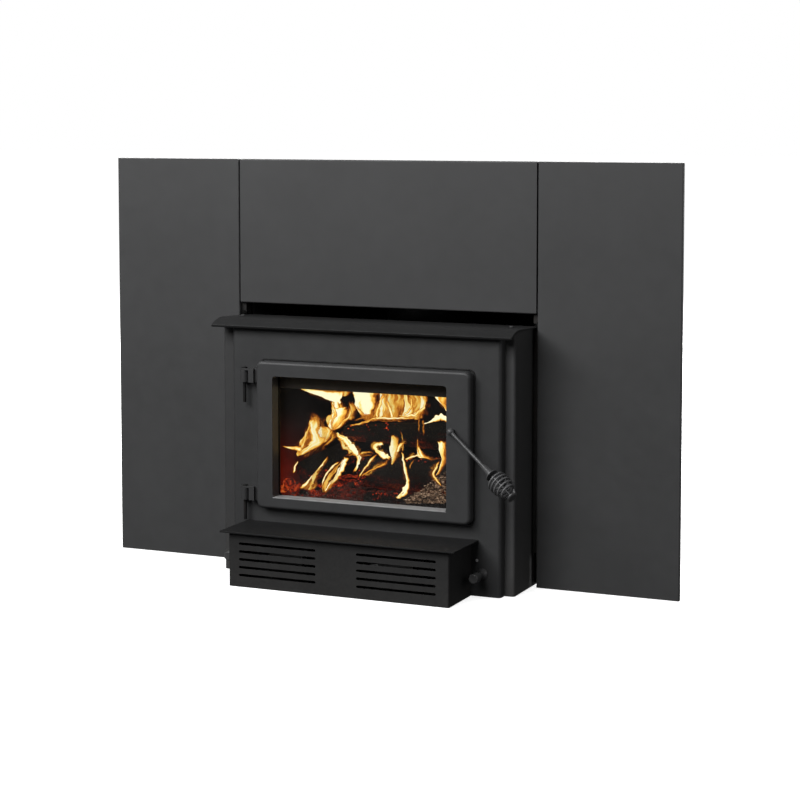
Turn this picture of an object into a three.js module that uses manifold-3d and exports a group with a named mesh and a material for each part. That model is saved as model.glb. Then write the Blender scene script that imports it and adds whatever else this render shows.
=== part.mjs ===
// Wood-burning fireplace insert: a steel firebox in a convection casing, with a glazed door, a blower
// under an ash shelf, and a flat three-panel surround that covers the fireplace opening.
//
// Millimetres. +X is right seen from the front, +Y goes back into the fireplace, +Z is up. The origin is
// on the hearth, in the plane of the surround's front face, at its middle.

import * as THREE from "three";
import { mergeVertices } from "three/addons/utils/BufferGeometryUtils.js";
import Module from "manifold-3d";

const wasm = await Module();
wasm.setup();

// ---------------------------------------------------------------- driving sizes

const GAP = 0.3; // between pieces that touch
const SHEET = 2; // casing and surround sheet
const EDGE_STEPS = 4; // facets of a rounded corner
const ROUND_SIDES = 24; // facets of a turned piece
const FLUE_SIDES = 48;
const PAST = 1; // how far a cutter runs past what it cuts
const WELD = 1; // how far welded pieces run into each other

// surround
const SURROUND_WIDTH = 1105;
const SURROUND_HEIGHT = 749;
const SURROUND_CLEARANCE = 10; // from the casing to a side panel
const SURROUND_RETURN = 8; // depth of the folded edges
const SURROUND_BEND = 2.5; // outside radius of the folds
const SEAM = 2; // between the top panel and a side panel
const BRACKET_FOOT = 60; // bottom end of the bracket above the hearth
const BRACKET_HEAD = 49; // top end of the bracket below the surround's top
const BRACKET_REACH = 46; // behind the side panel
const BRACKET_LEG = 24; // along the casing

// convection casing
const CASING_GAP = 50.4; // from the firebox's right side to the casing's outer face
const CASING_FRONT = 82; // in front of the surround
const CASING_BACK = 400; // behind the surround's face
const CASING_STRAIGHT = 40; // where the sides start to taper
const CASING_TAPER = 38; // by which each side comes in at the back
const CASING_TOP_RISE = 4.5; // from the top panel's lower edge to the casing's top sheet
const CASING_BEND = 5; // outside radius of the front corners
const STRIP_LAP = 5; // of the casing's front strip behind the front plate's edge
const BASE_THICKNESS = 3;

// lid over the air outlet
const LID_OVERHANG = 6; // past the casing on each side
const LID_THICKNESS = 5;
const LID_TOP = 464;
const LID_BACK = 30;
const LID_FLAT_FRONT = 75; // the flat part ends here and the roll starts
const LID_FRONT = 118;
const LID_ROLL = 88; // radius of the roll
const AIR_OUTLET = 19.5; // height of the slot between the lid and the top panel

// front plate
const PLATE_INSET_LEFT = 28; // from the casing's side to the plate's edge
const PLATE_INSET_RIGHT = 18;
const PLATE_FRONT = 101;
const PLATE_THICKNESS = 3;
const PLATE_BEND = 7;

// door
const DOOR_LEFT = 197;
const DOOR_RIGHT = 215.3;
const DOOR_BOTTOM = 126;
const DOOR_TOP = 391.8;
const DOOR_CORNER = 11;
const DOOR_EDGE = 6; // rounding of the outer front edge
const DOOR_EDGE_STEPS = 3;
const DOOR_THICKNESS = 17;
const DOOR_CLEARANCE = 3; // between the shut door's back and the front plate
const WINDOW_LEFT = 164.3;
const WINDOW_RIGHT = 171.5;
const WINDOW_BOTTOM = 147;
const WINDOW_TOP = 365.5;
const WINDOW_CORNER = 6;
const LINING_WALL = 4; // of the collar that deepens the window behind the frame
const LINING_DEPTH = 7.7;
const GLASS_LAP = 5; // of the pane behind the window's edge
const GLASS_THICKNESS = 5;
const RETAINER_THICKNESS = 2;
const RETAINER_LUG = 7;
const RETAINER_LUG_HEIGHT = 12;
const RETAINER_LUG_INSET = 52; // from the pane's top and bottom
const DOOR_RIM = 4; // outside the gasket channel
const GASKET_WIDTH = 7.5;
const GASKET_SEAT = 6; // depth of the channel
const SEAL_ROUND = 1; // inner corners of the channel and of the retainer
const SEAL_LAND = 1.5; // from the gasket to the opening's edge

// hinges
const HINGE_SIDE = 27; // from the door's left edge to the pin
const HINGE_FRONT = 112; // pin's axis in front of the surround
const HINGE_HEIGHT = 21.5;
const HINGE_UPPER = 352;
const HINGE_LOWER = 138.5;
const KNUCKLE_RADIUS = 8;
const LEAF_BLOCK = 10.3; // width of the block beside the knuckle
const LEAF_WEB = 10; // thickness of the web to the door
const LEAF_TONGUE = 3;
const LEAF_PASS = 3.4; // between the knuckle and the block
const PIN_RADIUS = 3;
const PIN_HEAD = 5;
const PIN_HEAD_HEIGHT = 2;
const PIN_TAIL = 37; // below the knuckle

// handle and latch
const HANDLE_HEIGHT = 288.3;
const HANDLE_SHAFT_RADIUS = 4;
const HANDLE_BOSS = 6.5;
const HANDLE_SIDES = 20;
const HANDLE_DIRECTION = new THREE.Vector3(0.774, -0.355, -0.523).normalize();
const HANDLE_ROD_RADIUS = 3.25;
const HANDLE_ROD_LENGTH = 93;
const FERRULE_LENGTH = 25;
const FERRULE_THIN = 4;
const FERRULE_THICK = 7.5;
const FERRULE_COLLAR = 11.5; // radius of the seat for the coil
const FERRULE_COLLAR_LENGTH = 2;
const COIL_WIRE = 3.6;
const COIL_LENGTH = 55;
const COIL_PITCH = 7.4;
const COIL_START = 9; // mean radius of the first turn
const COIL_END = 7;
const COIL_BULGE = 9.2; // mean radius that the belly adds
const COIL_CORE = 2.5;
const COIL_BELLY_SKEW = 0.8; // under 1 brings the belly nearer the start
const COIL_STEPS = 12; // for each turn
const COIL_EASE = 2.2; // wire diameters over which an end turns into the helix
const COIL_EASE_STEP = 1.6; // along the wire at the eased ends
const COIL_STRIDE = 0.25; // along the wire while its path is worked out
const COIL_SIDES = 6;
const BUTTON_LENGTH = 3;
const BUTTON_RADIUS = 9.2;
const BUTTON_CHAMFER = 2;
const CAM_HUB = 5.5;
const CAM_REACH = 12;
const CAM_THICKNESS = 6;
const CAM_CLEARANCE = 0.4; // to the pane's edge
const KEEPER_PASS = 2; // between the cam's tip and the keeper
const KEEPER_HEIGHT = 36;
const KEEPER_DEPTH = 20;
const KEEPER_LAP = 12; // of the keeper behind the firebox's front wall

// firebox
const FIREBOX_WALL = 5;
const FIREBOX_FLOOR = 82; // underside
const FIREBOX_TOP = 430;
const FIREBOX_BACK = 300;
const SKID_FRONT = 100;
const SKID_BACK = 280;
const BRICK = 25;
const SIDE_BRICK_HEIGHT = 262;
const BRICK_FRONT = 71; // the linings' front ends, in front of the surround's plane
const FLOOR_BRICKS = 3;
const RAIL = 30; // square section of the tube rails
const RAIL_WALL = 2;
const RAIL_FRONT = 40;
const TUBE_RADIUS = 12.5;
const TUBE_WALL = 2;
const TUBE_COUNT = 3;
const TUBE_FIRST = 20;
const TUBE_PITCH = 100;
const BAFFLE_THICKNESS = 25;
const BAFFLE_FRONT = 30; // in front of the surround's plane
const WASH_BAR_SHEET = 3;
const WASH_BAR_FLANGE = 19;
const WASH_BAR_DROP = 41;
const WASH_BAR_SLANT = 16;
const FLUE_RADIUS = 76;
const FLUE_WALL = 4;
const FLUE_FLANGE = 95;
const FLUE_FLANGE_HEIGHT = 5;
const FLUE_RISE = 30; // above the casing
const FLUE_Y = 190;
const FLUE_CLEARANCE = 3; // to the casing's top

// primary air
const ROD_INSET = 15; // from the front plate's left edge
const ROD_Z = 40;
const ROD_RADIUS = 3;
const ROD_BACK = 45;
const AIR_KNOB_FRONT = 150;
const AIR_KNOB_LENGTH = 24;
const AIR_KNOB_RADIUS = 8.5;
const AIR_KNOB_NECK = 5.3;
const KNOB_CHAMFER = 1.5;
const BORE_CLEARANCE = 0.8; // round a rod or shaft that turns or slides
const GUIDE_WIDTH = 13;
const GUIDE_FRONT = 121;
const GUIDE_BOTTOM = 18;
const GUIDE_NOSE = 9; // half height of the guide's front end
const GUIDE_ROUND = 3;
const AIR_BOX_X = [-200, -130];
const AIR_BOX_Y = [-88, 40];
const AIR_BOX_HEIGHT = 20;
const AIR_BOX_WALL = 2;
const AIR_SLOT_LENGTH = 46;
const AIR_SLOT_MARGIN = 12; // from the box's sides to the slot
const DAMPER_THICKNESS = 3;
const DAMPER_LAP = 6; // of the damper past the slot
const DAMPER_TAB = 12;

// blower
const HOUSING_WIDTH = 420;
const HOUSING_FRONT = 201.5;
const HOUSING_HEIGHT = 95.7;
const HOUSING_SHEET = 2;
const HOUSING_BEND = 3;
const SLOT_GROUPS = [[-190, -40], [37.5, 186]]; // left and right ends of each group of slots
const SLOT_COUNT = 5;
const SLOT_PITCH = 14;
const SLOT_LOWEST = 21;
const SLOT_HEIGHT = 4.8;
const SLOT_END_FLAT = 0.02; // straight part of a slot's round end
const SHELF_WIDTH = 448;
const SHELF_FRONT = 211.5;
const SHELF_THICKNESS = 3;
const SHELF_CORNER = 3;
const BLOWER_Y = -150;
const BLOWER_Z = 49;
const MOTOR_RADIUS = 30;
const MOTOR_LENGTH = 84;
const MOTOR_FOOT = [50, 40]; // length and width
const SHAFT_RADIUS = 4;
const WHEEL_RADIUS = 26;
const WHEEL_WIDTH = 54;
const WHEEL_X = 105; // middle of a wheel from the middle of the housing
const WHEEL_BLADES = 20;
const BLADE_THICKNESS = 1.2;
const BLADE_DEPTH = 5;
const BLADE_INSET = 2.9; // from the wheel's edge to the blade's middle
const BLADE_ANGLE = 0.5;
const WHEEL_RING = 3;
const WHEEL_DISC = 2;
const WHEEL_HUB = 9;
const SCROLL_WALL = 1.5;
const SCROLL_CLEARANCE = 4; // from the wheel to the scroll at the tongue
const SCROLL_GROWTH = 11; // of the spiral's radius over three quarters of a turn
const SCROLL_SIDE = 4; // from the wheel's end to the scroll's side
const SCROLL_INLET = 22;
const SCROLL_SWEEP = 1.5 * Math.PI;
const SCROLL_STEPS = 24;

// speed control
const SPEED_INSET = 33.4; // from the front plate's right edge
const SPEED_Z = 40;
const SPEED_KNOB_FRONT = 146;
const SPEED_KNOB_LENGTH = 18;
const SPEED_KNOB_RADIUS = 8.5;
const SPEED_NECK_RADIUS = 5;
const SPEED_CAP_SLOPE = 2; // from the cap down to the neck
const SPEED_SKIRT_RADIUS = 10;
const SPEED_SKIRT_LENGTH = 7;
const SPEED_SHAFT_RADIUS = 3;
const SPEED_BODY = [28, 22]; // side and depth of the control behind the plate
const SPEED_BODY_ROUND = 2;

// fire bed
const EMBER_HEIGHT = 38;
const EMBER_FOOT = 6; // height of the bed's upright edge
const EMBER_FRONT = 62;
const EMBER_BACK = 180;
const EMBER_SIDE = 12; // clear of the side bricks
const EMBER_SHOULDER = 30; // width of the bed's sloping rim
const EMBER_CORNER = 60;
const LOG_SIDES = 14;
const LOG_REST = 0.6; // between logs, and between a log and the embers
const LOG_RIGHT_X = [-45, 182];
const LOG_RIGHT_Y = 5;
const LOG_RIGHT_RADII = [31, 36];
const LOG_UPPER_X = [-88, 184];
const LOG_UPPER_Y = 25;
const LOG_UPPER_RADII = [16, 35];
const LOG_UPPER_FALL = 6; // by which its left end lies lower
const LOG_LEFT_START = [-148, -30];
const LOG_LEFT_END = [-94, 56];
const LOG_LEFT_RADII = [25, 24];
const LOG_LEFT_RISE = 34;

// ---------------------------------------------------------------- sizes worked out from them

const platePlane = -PLATE_FRONT;
const plateBack = platePlane + PLATE_THICKNESS;
const lidUnder = LID_TOP - LID_THICKNESS;
const doorBack = platePlane - DOOR_CLEARANCE;
const doorFront = doorBack - DOOR_THICKNESS;
const doorMiddle = (DOOR_RIGHT - DOOR_LEFT) / 2;
const glassFront = doorBack + LINING_DEPTH + GAP;
const glassBack = glassFront + GLASS_THICKNESS;
const glassRight = WINDOW_RIGHT + GLASS_LAP;
const openingInset = DOOR_RIM + GASKET_WIDTH + SEAL_LAND;
const openingLeft = -DOOR_LEFT + openingInset;
const openingRight = DOOR_RIGHT - openingInset;
const openingBottom = DOOR_BOTTOM + openingInset;
const openingTop = DOOR_TOP - openingInset;
const openingHalf = (openingRight - openingLeft) / 2;
const shellInner = openingHalf + BRICK + GAP;
const shellOuter = shellInner + FIREBOX_WALL;
const shellFront = plateBack + GAP;
const wallBack = shellFront + FIREBOX_WALL;
const shellEnd = FIREBOX_BACK - FIREBOX_WALL;
const casingHalf = doorMiddle + shellOuter + CASING_GAP;
const casingRearHalf = casingHalf - CASING_TAPER;
const surroundInner = casingHalf + SURROUND_CLEARANCE;
const lidHalf = casingHalf + LID_OVERHANG;
const plateLeft = casingHalf - PLATE_INSET_LEFT;
const plateRight = casingHalf - PLATE_INSET_RIGHT;
const rodX = ROD_INSET - plateLeft;
const speedX = plateRight - SPEED_INSET;
const floorTop = FIREBOX_FLOOR + FIREBOX_WALL;
const hearthTop = floorTop + GAP + BRICK;
const railBottom = floorTop + GAP + SIDE_BRICK_HEIGHT + GAP;
const tubeAxis = railBottom + RAIL / 2;
const handleX = glassRight + CAM_CLEARANCE + CAM_HUB;
const hingeX = -DOOR_LEFT - HINGE_SIDE;
const topPanelBottom = LID_TOP + AIR_OUTLET;
const casingTopUnder = topPanelBottom + CASING_TOP_RISE;
const casingHeight = casingTopUnder + SHEET;
const flueTop = casingHeight + FLUE_RISE;
const bracketPlane = SURROUND_RETURN + GAP;

/** Height of the lid's underside over a point at depth y, where y runs to the back. */
function lidUndersideAt(y) {
  const ahead = Math.max(0, -LID_FLAT_FRONT - y);
  const inner = LID_ROLL - LID_THICKNESS;
  return LID_TOP - LID_ROLL + Math.sqrt(inner * inner - ahead * ahead);
}

// ---------------------------------------------------------------- geometry helpers

/** A closed three.js geometry as a solid. */
function solid(geometry) {
  const bare = geometry.clone();
  bare.deleteAttribute("normal");
  bare.deleteAttribute("uv");
  const merged = mergeVertices(bare, 1e-4);
  return new wasm.Manifold(
    new wasm.Mesh({
      numProp: 3,
      vertProperties: new Float32Array(merged.attributes.position.array),
      triVerts: new Uint32Array(merged.index.array),
    }),
  );
}

/** A solid as a three.js geometry. */
function geometryOf(shape) {
  const mesh = shape.getMesh();
  const geometry = new THREE.BufferGeometry();
  geometry.setAttribute("position", new THREE.BufferAttribute(mesh.vertProperties, 3));
  geometry.setIndex(new THREE.BufferAttribute(mesh.triVerts, 1));
  geometry.computeVertexNormals();
  return geometry;
}

function join(...shapes) {
  return shapes.reduce((whole, shape) => whole.add(shape));
}

function cut(shape, ...cutters) {
  return cutters.reduce((left, cutter) => left.subtract(cutter), shape);
}

/** A block between two opposite corners. */
function block([x0, x1], [y0, y1], [z0, z1]) {
  const geometry = new THREE.BoxGeometry(x1 - x0, y1 - y0, z1 - z0);
  return solid(geometry.translate((x0 + x1) / 2, (y0 + y1) / 2, (z0 + z1) / 2));
}

/** A closed outline. Each corner is [x, y] or [x, y, radius]. */
function outline(corners, steps = EDGE_STEPS) {
  const points = [];
  corners.forEach(([x, y, radius = 0], i) => {
    const here = new THREE.Vector2(x, y);
    if (!radius) {
      points.push(here);
      return;
    }
    const [beforeX, beforeY] = corners.at(i - 1);
    const [afterX, afterY] = corners[(i + 1) % corners.length];
    const before = new THREE.Vector2(beforeX, beforeY).sub(here).normalize();
    const after = new THREE.Vector2(afterX, afterY).sub(here).normalize();
    const half = Math.acos(before.dot(after)) / 2;
    const middle = before.clone().add(after).normalize().multiplyScalar(radius / Math.sin(half)).add(here);
    const start = before.multiplyScalar(radius / Math.tan(half)).add(here).sub(middle).angle();
    const end = after.multiplyScalar(radius / Math.tan(half)).add(here).sub(middle).angle();
    const sweep = THREE.MathUtils.euclideanModulo(end - start + Math.PI, 2 * Math.PI) - Math.PI;
    for (let step = 0; step <= steps; step += 1) {
      const angle = start + (sweep * step) / steps;
      points.push(new THREE.Vector2(radius * Math.cos(angle), radius * Math.sin(angle)).add(middle));
    }
  });
  return new THREE.Shape(points);
}

function rectangle(x0, x1, y0, y1, radius = 0) {
  return outline([[x0, y0, radius], [x1, y0, radius], [x1, y1, radius], [x0, y1, radius]]);
}

/** An outline drawn in the plan (x, y) and raised from one height to another. */
function raised(shape, from, to) {
  const geometry = new THREE.ExtrudeGeometry(shape, { depth: to - from, bevelEnabled: false });
  return solid(geometry.translate(0, 0, from));
}

/** An outline drawn in the front view (x, z) and run from one depth to another. */
function deepened(shape, from, to) {
  const geometry = new THREE.ExtrudeGeometry(shape, { depth: to - from, bevelEnabled: false });
  return solid(geometry.rotateX(Math.PI / 2).translate(0, to, 0));
}

/** An outline drawn in the side view (y, z) and run from left to right. */
function widened(shape, from, to) {
  const geometry = new THREE.ExtrudeGeometry(shape, { depth: to - from, bevelEnabled: false });
  const turn = new THREE.Matrix4().makeBasis(
    new THREE.Vector3(0, 1, 0),
    new THREE.Vector3(0, 0, 1),
    new THREE.Vector3(1, 0, 0),
  );
  return solid(geometry.applyMatrix4(turn).translate(from, 0, 0));
}

/** A geometry made along +Z, moved to a start point and pointed along a direction. */
function pointed(geometry, start, direction) {
  const turn = new THREE.Quaternion().setFromUnitVectors(new THREE.Vector3(0, 0, 1), direction);
  return geometry.applyQuaternion(turn).translate(start.x, start.y, start.z);
}

/** A round bar or cone from a start point along a direction. */
function bar(start, direction, length, radius, endRadius = radius, sides = ROUND_SIDES) {
  const geometry = new THREE.CylinderGeometry(endRadius, radius, length, sides);
  return solid(pointed(geometry.rotateX(Math.PI / 2).translate(0, 0, length / 2), start, direction));
}

const UP = new THREE.Vector3(0, 0, 1);
const BACK = new THREE.Vector3(0, 1, 0);
const RIGHT = new THREE.Vector3(1, 0, 0);

function at(x, y, z) {
  return new THREE.Vector3(x, y, z);
}

// ---------------------------------------------------------------- finishes

function finish(colour, roughness, metalness) {
  return () => new THREE.MeshStandardMaterial({ color: colour, roughness, metalness });
}

const satinPaint = finish(0x3c3d3f, 0.5, 0.2);
const darkPaint = finish(0x242424, 0.6, 0.2);
const castPaint = finish(0x38393b, 0.55, 0.3);
const blackSteel = finish(0x161616, 0.7, 0.3);
const bareSteel = finish(0x6c6c6c, 0.35, 0.9);
const fireclay = finish(0x9a8f80, 0.95, 0);
const ceramicBoard = finish(0xc9c2b4, 0.95, 0);
const paneGlass = finish(0x181412, 0.05, 0);
const gasketRope = finish(0x2b2b2b, 0.95, 0);
const blackPlastic = finish(0x1a1a1a, 0.45, 0);
const charredWood = finish(0x1f1712, 0.95, 0);
const glowingEmber = finish(0x8c2f14, 0.9, 0);

// ---------------------------------------------------------------- assembly

const insert = new THREE.Group();

/** Adds a named piece to the insert. */
function add(name, shape, material) {
  const mesh = new THREE.Mesh(shape.getMesh ? geometryOf(shape) : shape, material());
  mesh.name = name;
  insert.add(mesh);
  return mesh;
}

// ---------------------------------------------------------------- surround

/** One side panel: a sheet folded back at its four edges. side is -1 on the left and 1 on the right. */
function surroundSide(side) {
  const left = Math.min(side * surroundInner, (side * SURROUND_WIDTH) / 2);
  const right = left + SURROUND_WIDTH / 2 - surroundInner;
  const plan = outline([
    [left, SURROUND_RETURN],
    [left, 0, SURROUND_BEND],
    [right, 0, SURROUND_BEND],
    [right, SURROUND_RETURN],
  ]);
  const hollow = block(
    [left + SHEET, right - SHEET],
    [SHEET, SURROUND_RETURN + PAST],
    [SHEET, SURROUND_HEIGHT - SHEET],
  );
  return cut(raised(plan, 0, SURROUND_HEIGHT), hollow);
}

/** The top panel, folded back at its four edges, between the side panels. */
function surroundTop() {
  const half = surroundInner - SEAM;
  const side = outline([
    [SURROUND_RETURN, SURROUND_HEIGHT],
    [0, SURROUND_HEIGHT, SURROUND_BEND],
    [0, topPanelBottom, SURROUND_BEND],
    [SURROUND_RETURN, topPanelBottom],
  ]);
  const hollow = block(
    [SHEET - half, half - SHEET],
    [SHEET, SURROUND_RETURN + PAST],
    [topPanelBottom + SHEET, SURROUND_HEIGHT - SHEET],
  );
  return cut(widened(side, -half, half), hollow);
}

/** The angle that carries the surround on the casing, notched round the lid. */
function surroundBracket(side) {
  const near = side * (casingHalf + GAP);
  const profile = outline([
    [near, bracketPlane],
    [near + side * BRACKET_REACH, bracketPlane],
    [near + side * BRACKET_REACH, bracketPlane + SHEET],
    [near + side * SHEET, bracketPlane + SHEET],
    [near + side * SHEET, bracketPlane + BRACKET_LEG],
    [near, bracketPlane + BRACKET_LEG],
  ]);
  const notch = block(
    [-lidHalf - SEAM, lidHalf + SEAM],
    [0, LID_BACK + BRACKET_LEG],
    [lidUnder - SEAM, LID_TOP + SEAM],
  );
  return cut(raised(profile, BRACKET_FOOT, SURROUND_HEIGHT - BRACKET_HEAD), notch);
}

add("surround_left", surroundSide(-1), satinPaint);
add("surround_right", surroundSide(1), satinPaint);
add("surround_top", surroundTop(), satinPaint);
add("surround_bracket_left", surroundBracket(-1), blackSteel);
add("surround_bracket_right", surroundBracket(1), blackSteel);

// ---------------------------------------------------------------- casing

const casingSideEnd = CASING_BACK - SHEET - GAP;
const casingTopPlane = casingTopUnder - GAP;

/** Half width of the casing's outer face at a depth. */
function casingHalfAt(y) {
  const share = Math.max(0, y - CASING_STRAIGHT) / (CASING_BACK - CASING_STRAIGHT);
  return casingHalf + (casingRearHalf - casingHalf) * share;
}

/** One side: a front strip, a rounded corner, a straight run and a taper to the back. */
function casingSide(side) {
  const strip = side * ((side > 0 ? plateRight : plateLeft) - STRIP_LAP);
  const plan = outline([
    [strip, -CASING_FRONT],
    [side * casingHalf, -CASING_FRONT, CASING_BEND],
    [side * casingHalf, CASING_STRAIGHT],
    [side * casingHalfAt(casingSideEnd), casingSideEnd],
    [side * (casingHalfAt(casingSideEnd) - SHEET), casingSideEnd],
    [side * (casingHalf - SHEET), CASING_STRAIGHT],
    [side * (casingHalf - SHEET), SHEET - CASING_FRONT, CASING_BEND - SHEET],
    [strip, SHEET - CASING_FRONT],
  ]);
  const underLid = block(
    [-lidHalf, lidHalf],
    [-LID_FRONT, LID_BACK + GAP],
    [lidUndersideAt(-CASING_FRONT) - GAP, casingHeight],
  );
  return cut(raised(plan, 0, casingTopPlane), underLid);
}

/** The casing's plan between two depths, grown or shrunk, with rounded front corners. */
function casingPlan(front, back, grow, corner = 0) {
  return outline([
    [-(casingHalf + grow), front, corner],
    [casingHalf + grow, front, corner],
    [casingHalf + grow, CASING_STRAIGHT],
    [casingHalfAt(back) + grow, back],
    [-(casingHalfAt(back) + grow), back],
    [-(casingHalf + grow), CASING_STRAIGHT],
  ]);
}

/** The top sheet, with a hole for the flue collar. */
function casingTop() {
  const flueHole = FLUE_RADIUS + FLUE_WALL + FLUE_CLEARANCE;
  const hole = bar(at(doorMiddle, FLUE_Y, casingTopUnder - SHEET), UP, 3 * SHEET,
    flueHole, flueHole, FLUE_SIDES);
  return cut(raised(casingPlan(bracketPlane, CASING_BACK, 0), casingTopUnder, casingHeight), hole);
}

add("casing_left", casingSide(-1), darkPaint);
add("casing_right", casingSide(1), darkPaint);
add(
  "casing_back",
  block([-casingRearHalf, casingRearHalf], [CASING_BACK - SHEET, CASING_BACK], [0, casingTopPlane]),
  darkPaint,
);
add("casing_top", casingTop(), darkPaint);
add(
  "base_plate",
  raised(
    casingPlan(SHEET - CASING_FRONT + GAP, casingSideEnd, -(SHEET + 2 * GAP), CASING_BEND),
    0,
    BASE_THICKNESS,
  ),
  blackSteel,
);

/** The lid: flat over the casing, rolled down over the front. */
function lid() {
  const drop = Math.asin((LID_FRONT - LID_FLAT_FRONT) / LID_ROLL);
  const upright = Math.PI / 2;
  const profile = new THREE.Shape();
  const axis = LID_TOP - LID_ROLL;
  profile.moveTo(LID_BACK, LID_TOP);
  profile.absarc(-LID_FLAT_FRONT, axis, LID_ROLL, upright, upright + drop, false);
  profile.absarc(-LID_FLAT_FRONT, axis, LID_ROLL - LID_THICKNESS, upright + drop, upright, true);
  profile.lineTo(LID_BACK, lidUnder);
  return widened(profile, -lidHalf, lidHalf);
}

add("lid_plate", lid(), satinPaint);

// ---------------------------------------------------------------- front plate and firebox

/** The hole in the front plate and in the firebox's front wall that the door closes. */
function doorOpening(from, to) {
  const radius = DOOR_CORNER - DOOR_RIM;
  return deepened(rectangle(openingLeft, openingRight, openingBottom, openingTop, radius), from, to);
}

/** The front plate: a tray with folded sides, cut for the door, the two controls and the two scrolls. */
function frontPlate() {
  const fold = -CASING_FRONT - GAP;
  const tray = outline([
    [-plateLeft, fold],
    [-plateLeft, platePlane, PLATE_BEND],
    [plateRight, platePlane, PLATE_BEND],
    [plateRight, fold],
    [plateRight - PLATE_THICKNESS, fold],
    [plateRight - PLATE_THICKNESS, plateBack, PLATE_BEND - PLATE_THICKNESS],
    [PLATE_THICKNESS - plateLeft, plateBack, PLATE_BEND - PLATE_THICKNESS],
    [PLATE_THICKNESS - plateLeft, fold],
  ]);
  const through = [platePlane - PLATE_THICKNESS, plateBack + PLATE_THICKNESS];
  const start = through[0];
  const depth = through[1] - through[0];
  const scrollOutlets = [-1, 1].map((side) =>
    block(
      [side * WHEEL_X - scrollInnerHalf, side * WHEEL_X + scrollInnerHalf],
      through,
      [scrollBottom + SCROLL_WALL, scrollTongueZ - SCROLL_WALL],
    ),
  );
  return cut(
    raised(tray, 0, lidUndersideAt(platePlane) - GAP),
    doorOpening(...through),
    bar(at(rodX, start, ROD_Z), BACK, depth, ROD_RADIUS + BORE_CLEARANCE),
    bar(at(speedX, start, SPEED_Z), BACK, depth, SPEED_SHAFT_RADIUS + BORE_CLEARANCE),
    ...scrollOutlets,
  );
}

/** The welded firebox, with the door opening, the flue hole, the air hole and two skids to the base. */
function fireboxShell() {
  const outerX = [doorMiddle - shellOuter, doorMiddle + shellOuter];
  const innerX = [doorMiddle - shellInner, doorMiddle + shellInner];
  const skids = [outerX[0], outerX[1] - FIREBOX_WALL].map((x) =>
    block([x, x + FIREBOX_WALL], [SKID_FRONT, SKID_BACK], [BASE_THICKNESS + GAP, floorTop]),
  );
  const flue = bar(at(doorMiddle, FLUE_Y, FIREBOX_TOP - 2 * FIREBOX_WALL), UP, 3 * FIREBOX_WALL,
    FLUE_RADIUS, FLUE_RADIUS, FLUE_SIDES);
  const airHole = block(
    [AIR_BOX_X[0] + AIR_SLOT_MARGIN, AIR_BOX_X[1] - AIR_SLOT_MARGIN],
    [wallBack + AIR_BOX_WALL, -BRICK_FRONT - GAP],
    [FIREBOX_FLOOR - PAST, floorTop + PAST],
  );
  return cut(
    join(block(outerX, [shellFront, FIREBOX_BACK], [FIREBOX_FLOOR, FIREBOX_TOP]), ...skids),
    block(innerX, [wallBack, shellEnd], [floorTop, FIREBOX_TOP - FIREBOX_WALL]),
    doorOpening(shellFront - PAST, wallBack + PAST),
    flue,
    airHole,
  );
}

/** The flue collar: a flanged ring on the firebox's top. */
function flueCollar() {
  const bottom = FIREBOX_TOP + GAP;
  const outer = FLUE_RADIUS + FLUE_WALL;
  const profile = [
    [FLUE_RADIUS, bottom],
    [FLUE_FLANGE, bottom],
    [FLUE_FLANGE, bottom + FLUE_FLANGE_HEIGHT],
    [outer, bottom + FLUE_FLANGE_HEIGHT],
    [outer, flueTop],
    [FLUE_RADIUS, flueTop],
    [FLUE_RADIUS, bottom],
  ].map(([radius, height]) => new THREE.Vector2(radius, height));
  const ring = new THREE.LatheGeometry(profile, FLUE_SIDES);
  return solid(ring.rotateX(Math.PI / 2).translate(doorMiddle, FLUE_Y, 0));
}

const brickZ = [floorTop + GAP, floorTop + GAP + SIDE_BRICK_HEIGHT];
const liningBack = shellEnd - GAP;
const floorBack = liningBack - BRICK - GAP;
const hearthHalf = openingHalf - GAP;

/** The three slabs that line the floor. */
function addFloorBricks() {
  const width = (2 * hearthHalf - (FLOOR_BRICKS - 1) * GAP) / FLOOR_BRICKS;
  for (let i = 0; i < FLOOR_BRICKS; i += 1) {
    const left = doorMiddle - hearthHalf + i * (width + GAP);
    const slab = block([left, left + width], [-BRICK_FRONT, floorBack], [floorTop + GAP, hearthTop]);
    add(`floor_brick_${i + 1}`, slab, fireclay);
  }
}

/** A slab that lines one side of the firebox. */
function sideBrick(side) {
  const inner = doorMiddle + side * openingHalf;
  const outer = inner + side * BRICK;
  return block([Math.min(inner, outer), Math.max(inner, outer)], [-BRICK_FRONT, liningBack], brickZ);
}

/** A square tube over a side brick, which feeds the air tubes. */
function tubeRail(side) {
  const outer = doorMiddle + side * (shellInner - GAP);
  const left = side > 0 ? outer - RAIL : outer;
  const section = rectangle(left, left + RAIL, railBottom, railBottom + RAIL);
  const bore = rectangle(
    left + RAIL_WALL, left + RAIL - RAIL_WALL, railBottom + RAIL_WALL, railBottom + RAIL - RAIL_WALL);
  section.holes.push(bore);
  return deepened(section, -RAIL_FRONT, liningBack);
}

/** The perforated tubes between the rails, which also carry the baffle. */
function addAirTubes() {
  const half = shellInner - GAP - RAIL - GAP;
  for (let i = 0; i < TUBE_COUNT; i += 1) {
    const start = at(doorMiddle - half, TUBE_FIRST + i * TUBE_PITCH, tubeAxis);
    const tube = cut(
      bar(start, RIGHT, 2 * half, TUBE_RADIUS),
      bar(start.clone().addScaledVector(RIGHT, -PAST), RIGHT, 2 * (half + PAST), TUBE_RADIUS - TUBE_WALL),
    );
    add(`air_tube_${i + 1}`, tube, blackSteel);
  }
}

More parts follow.
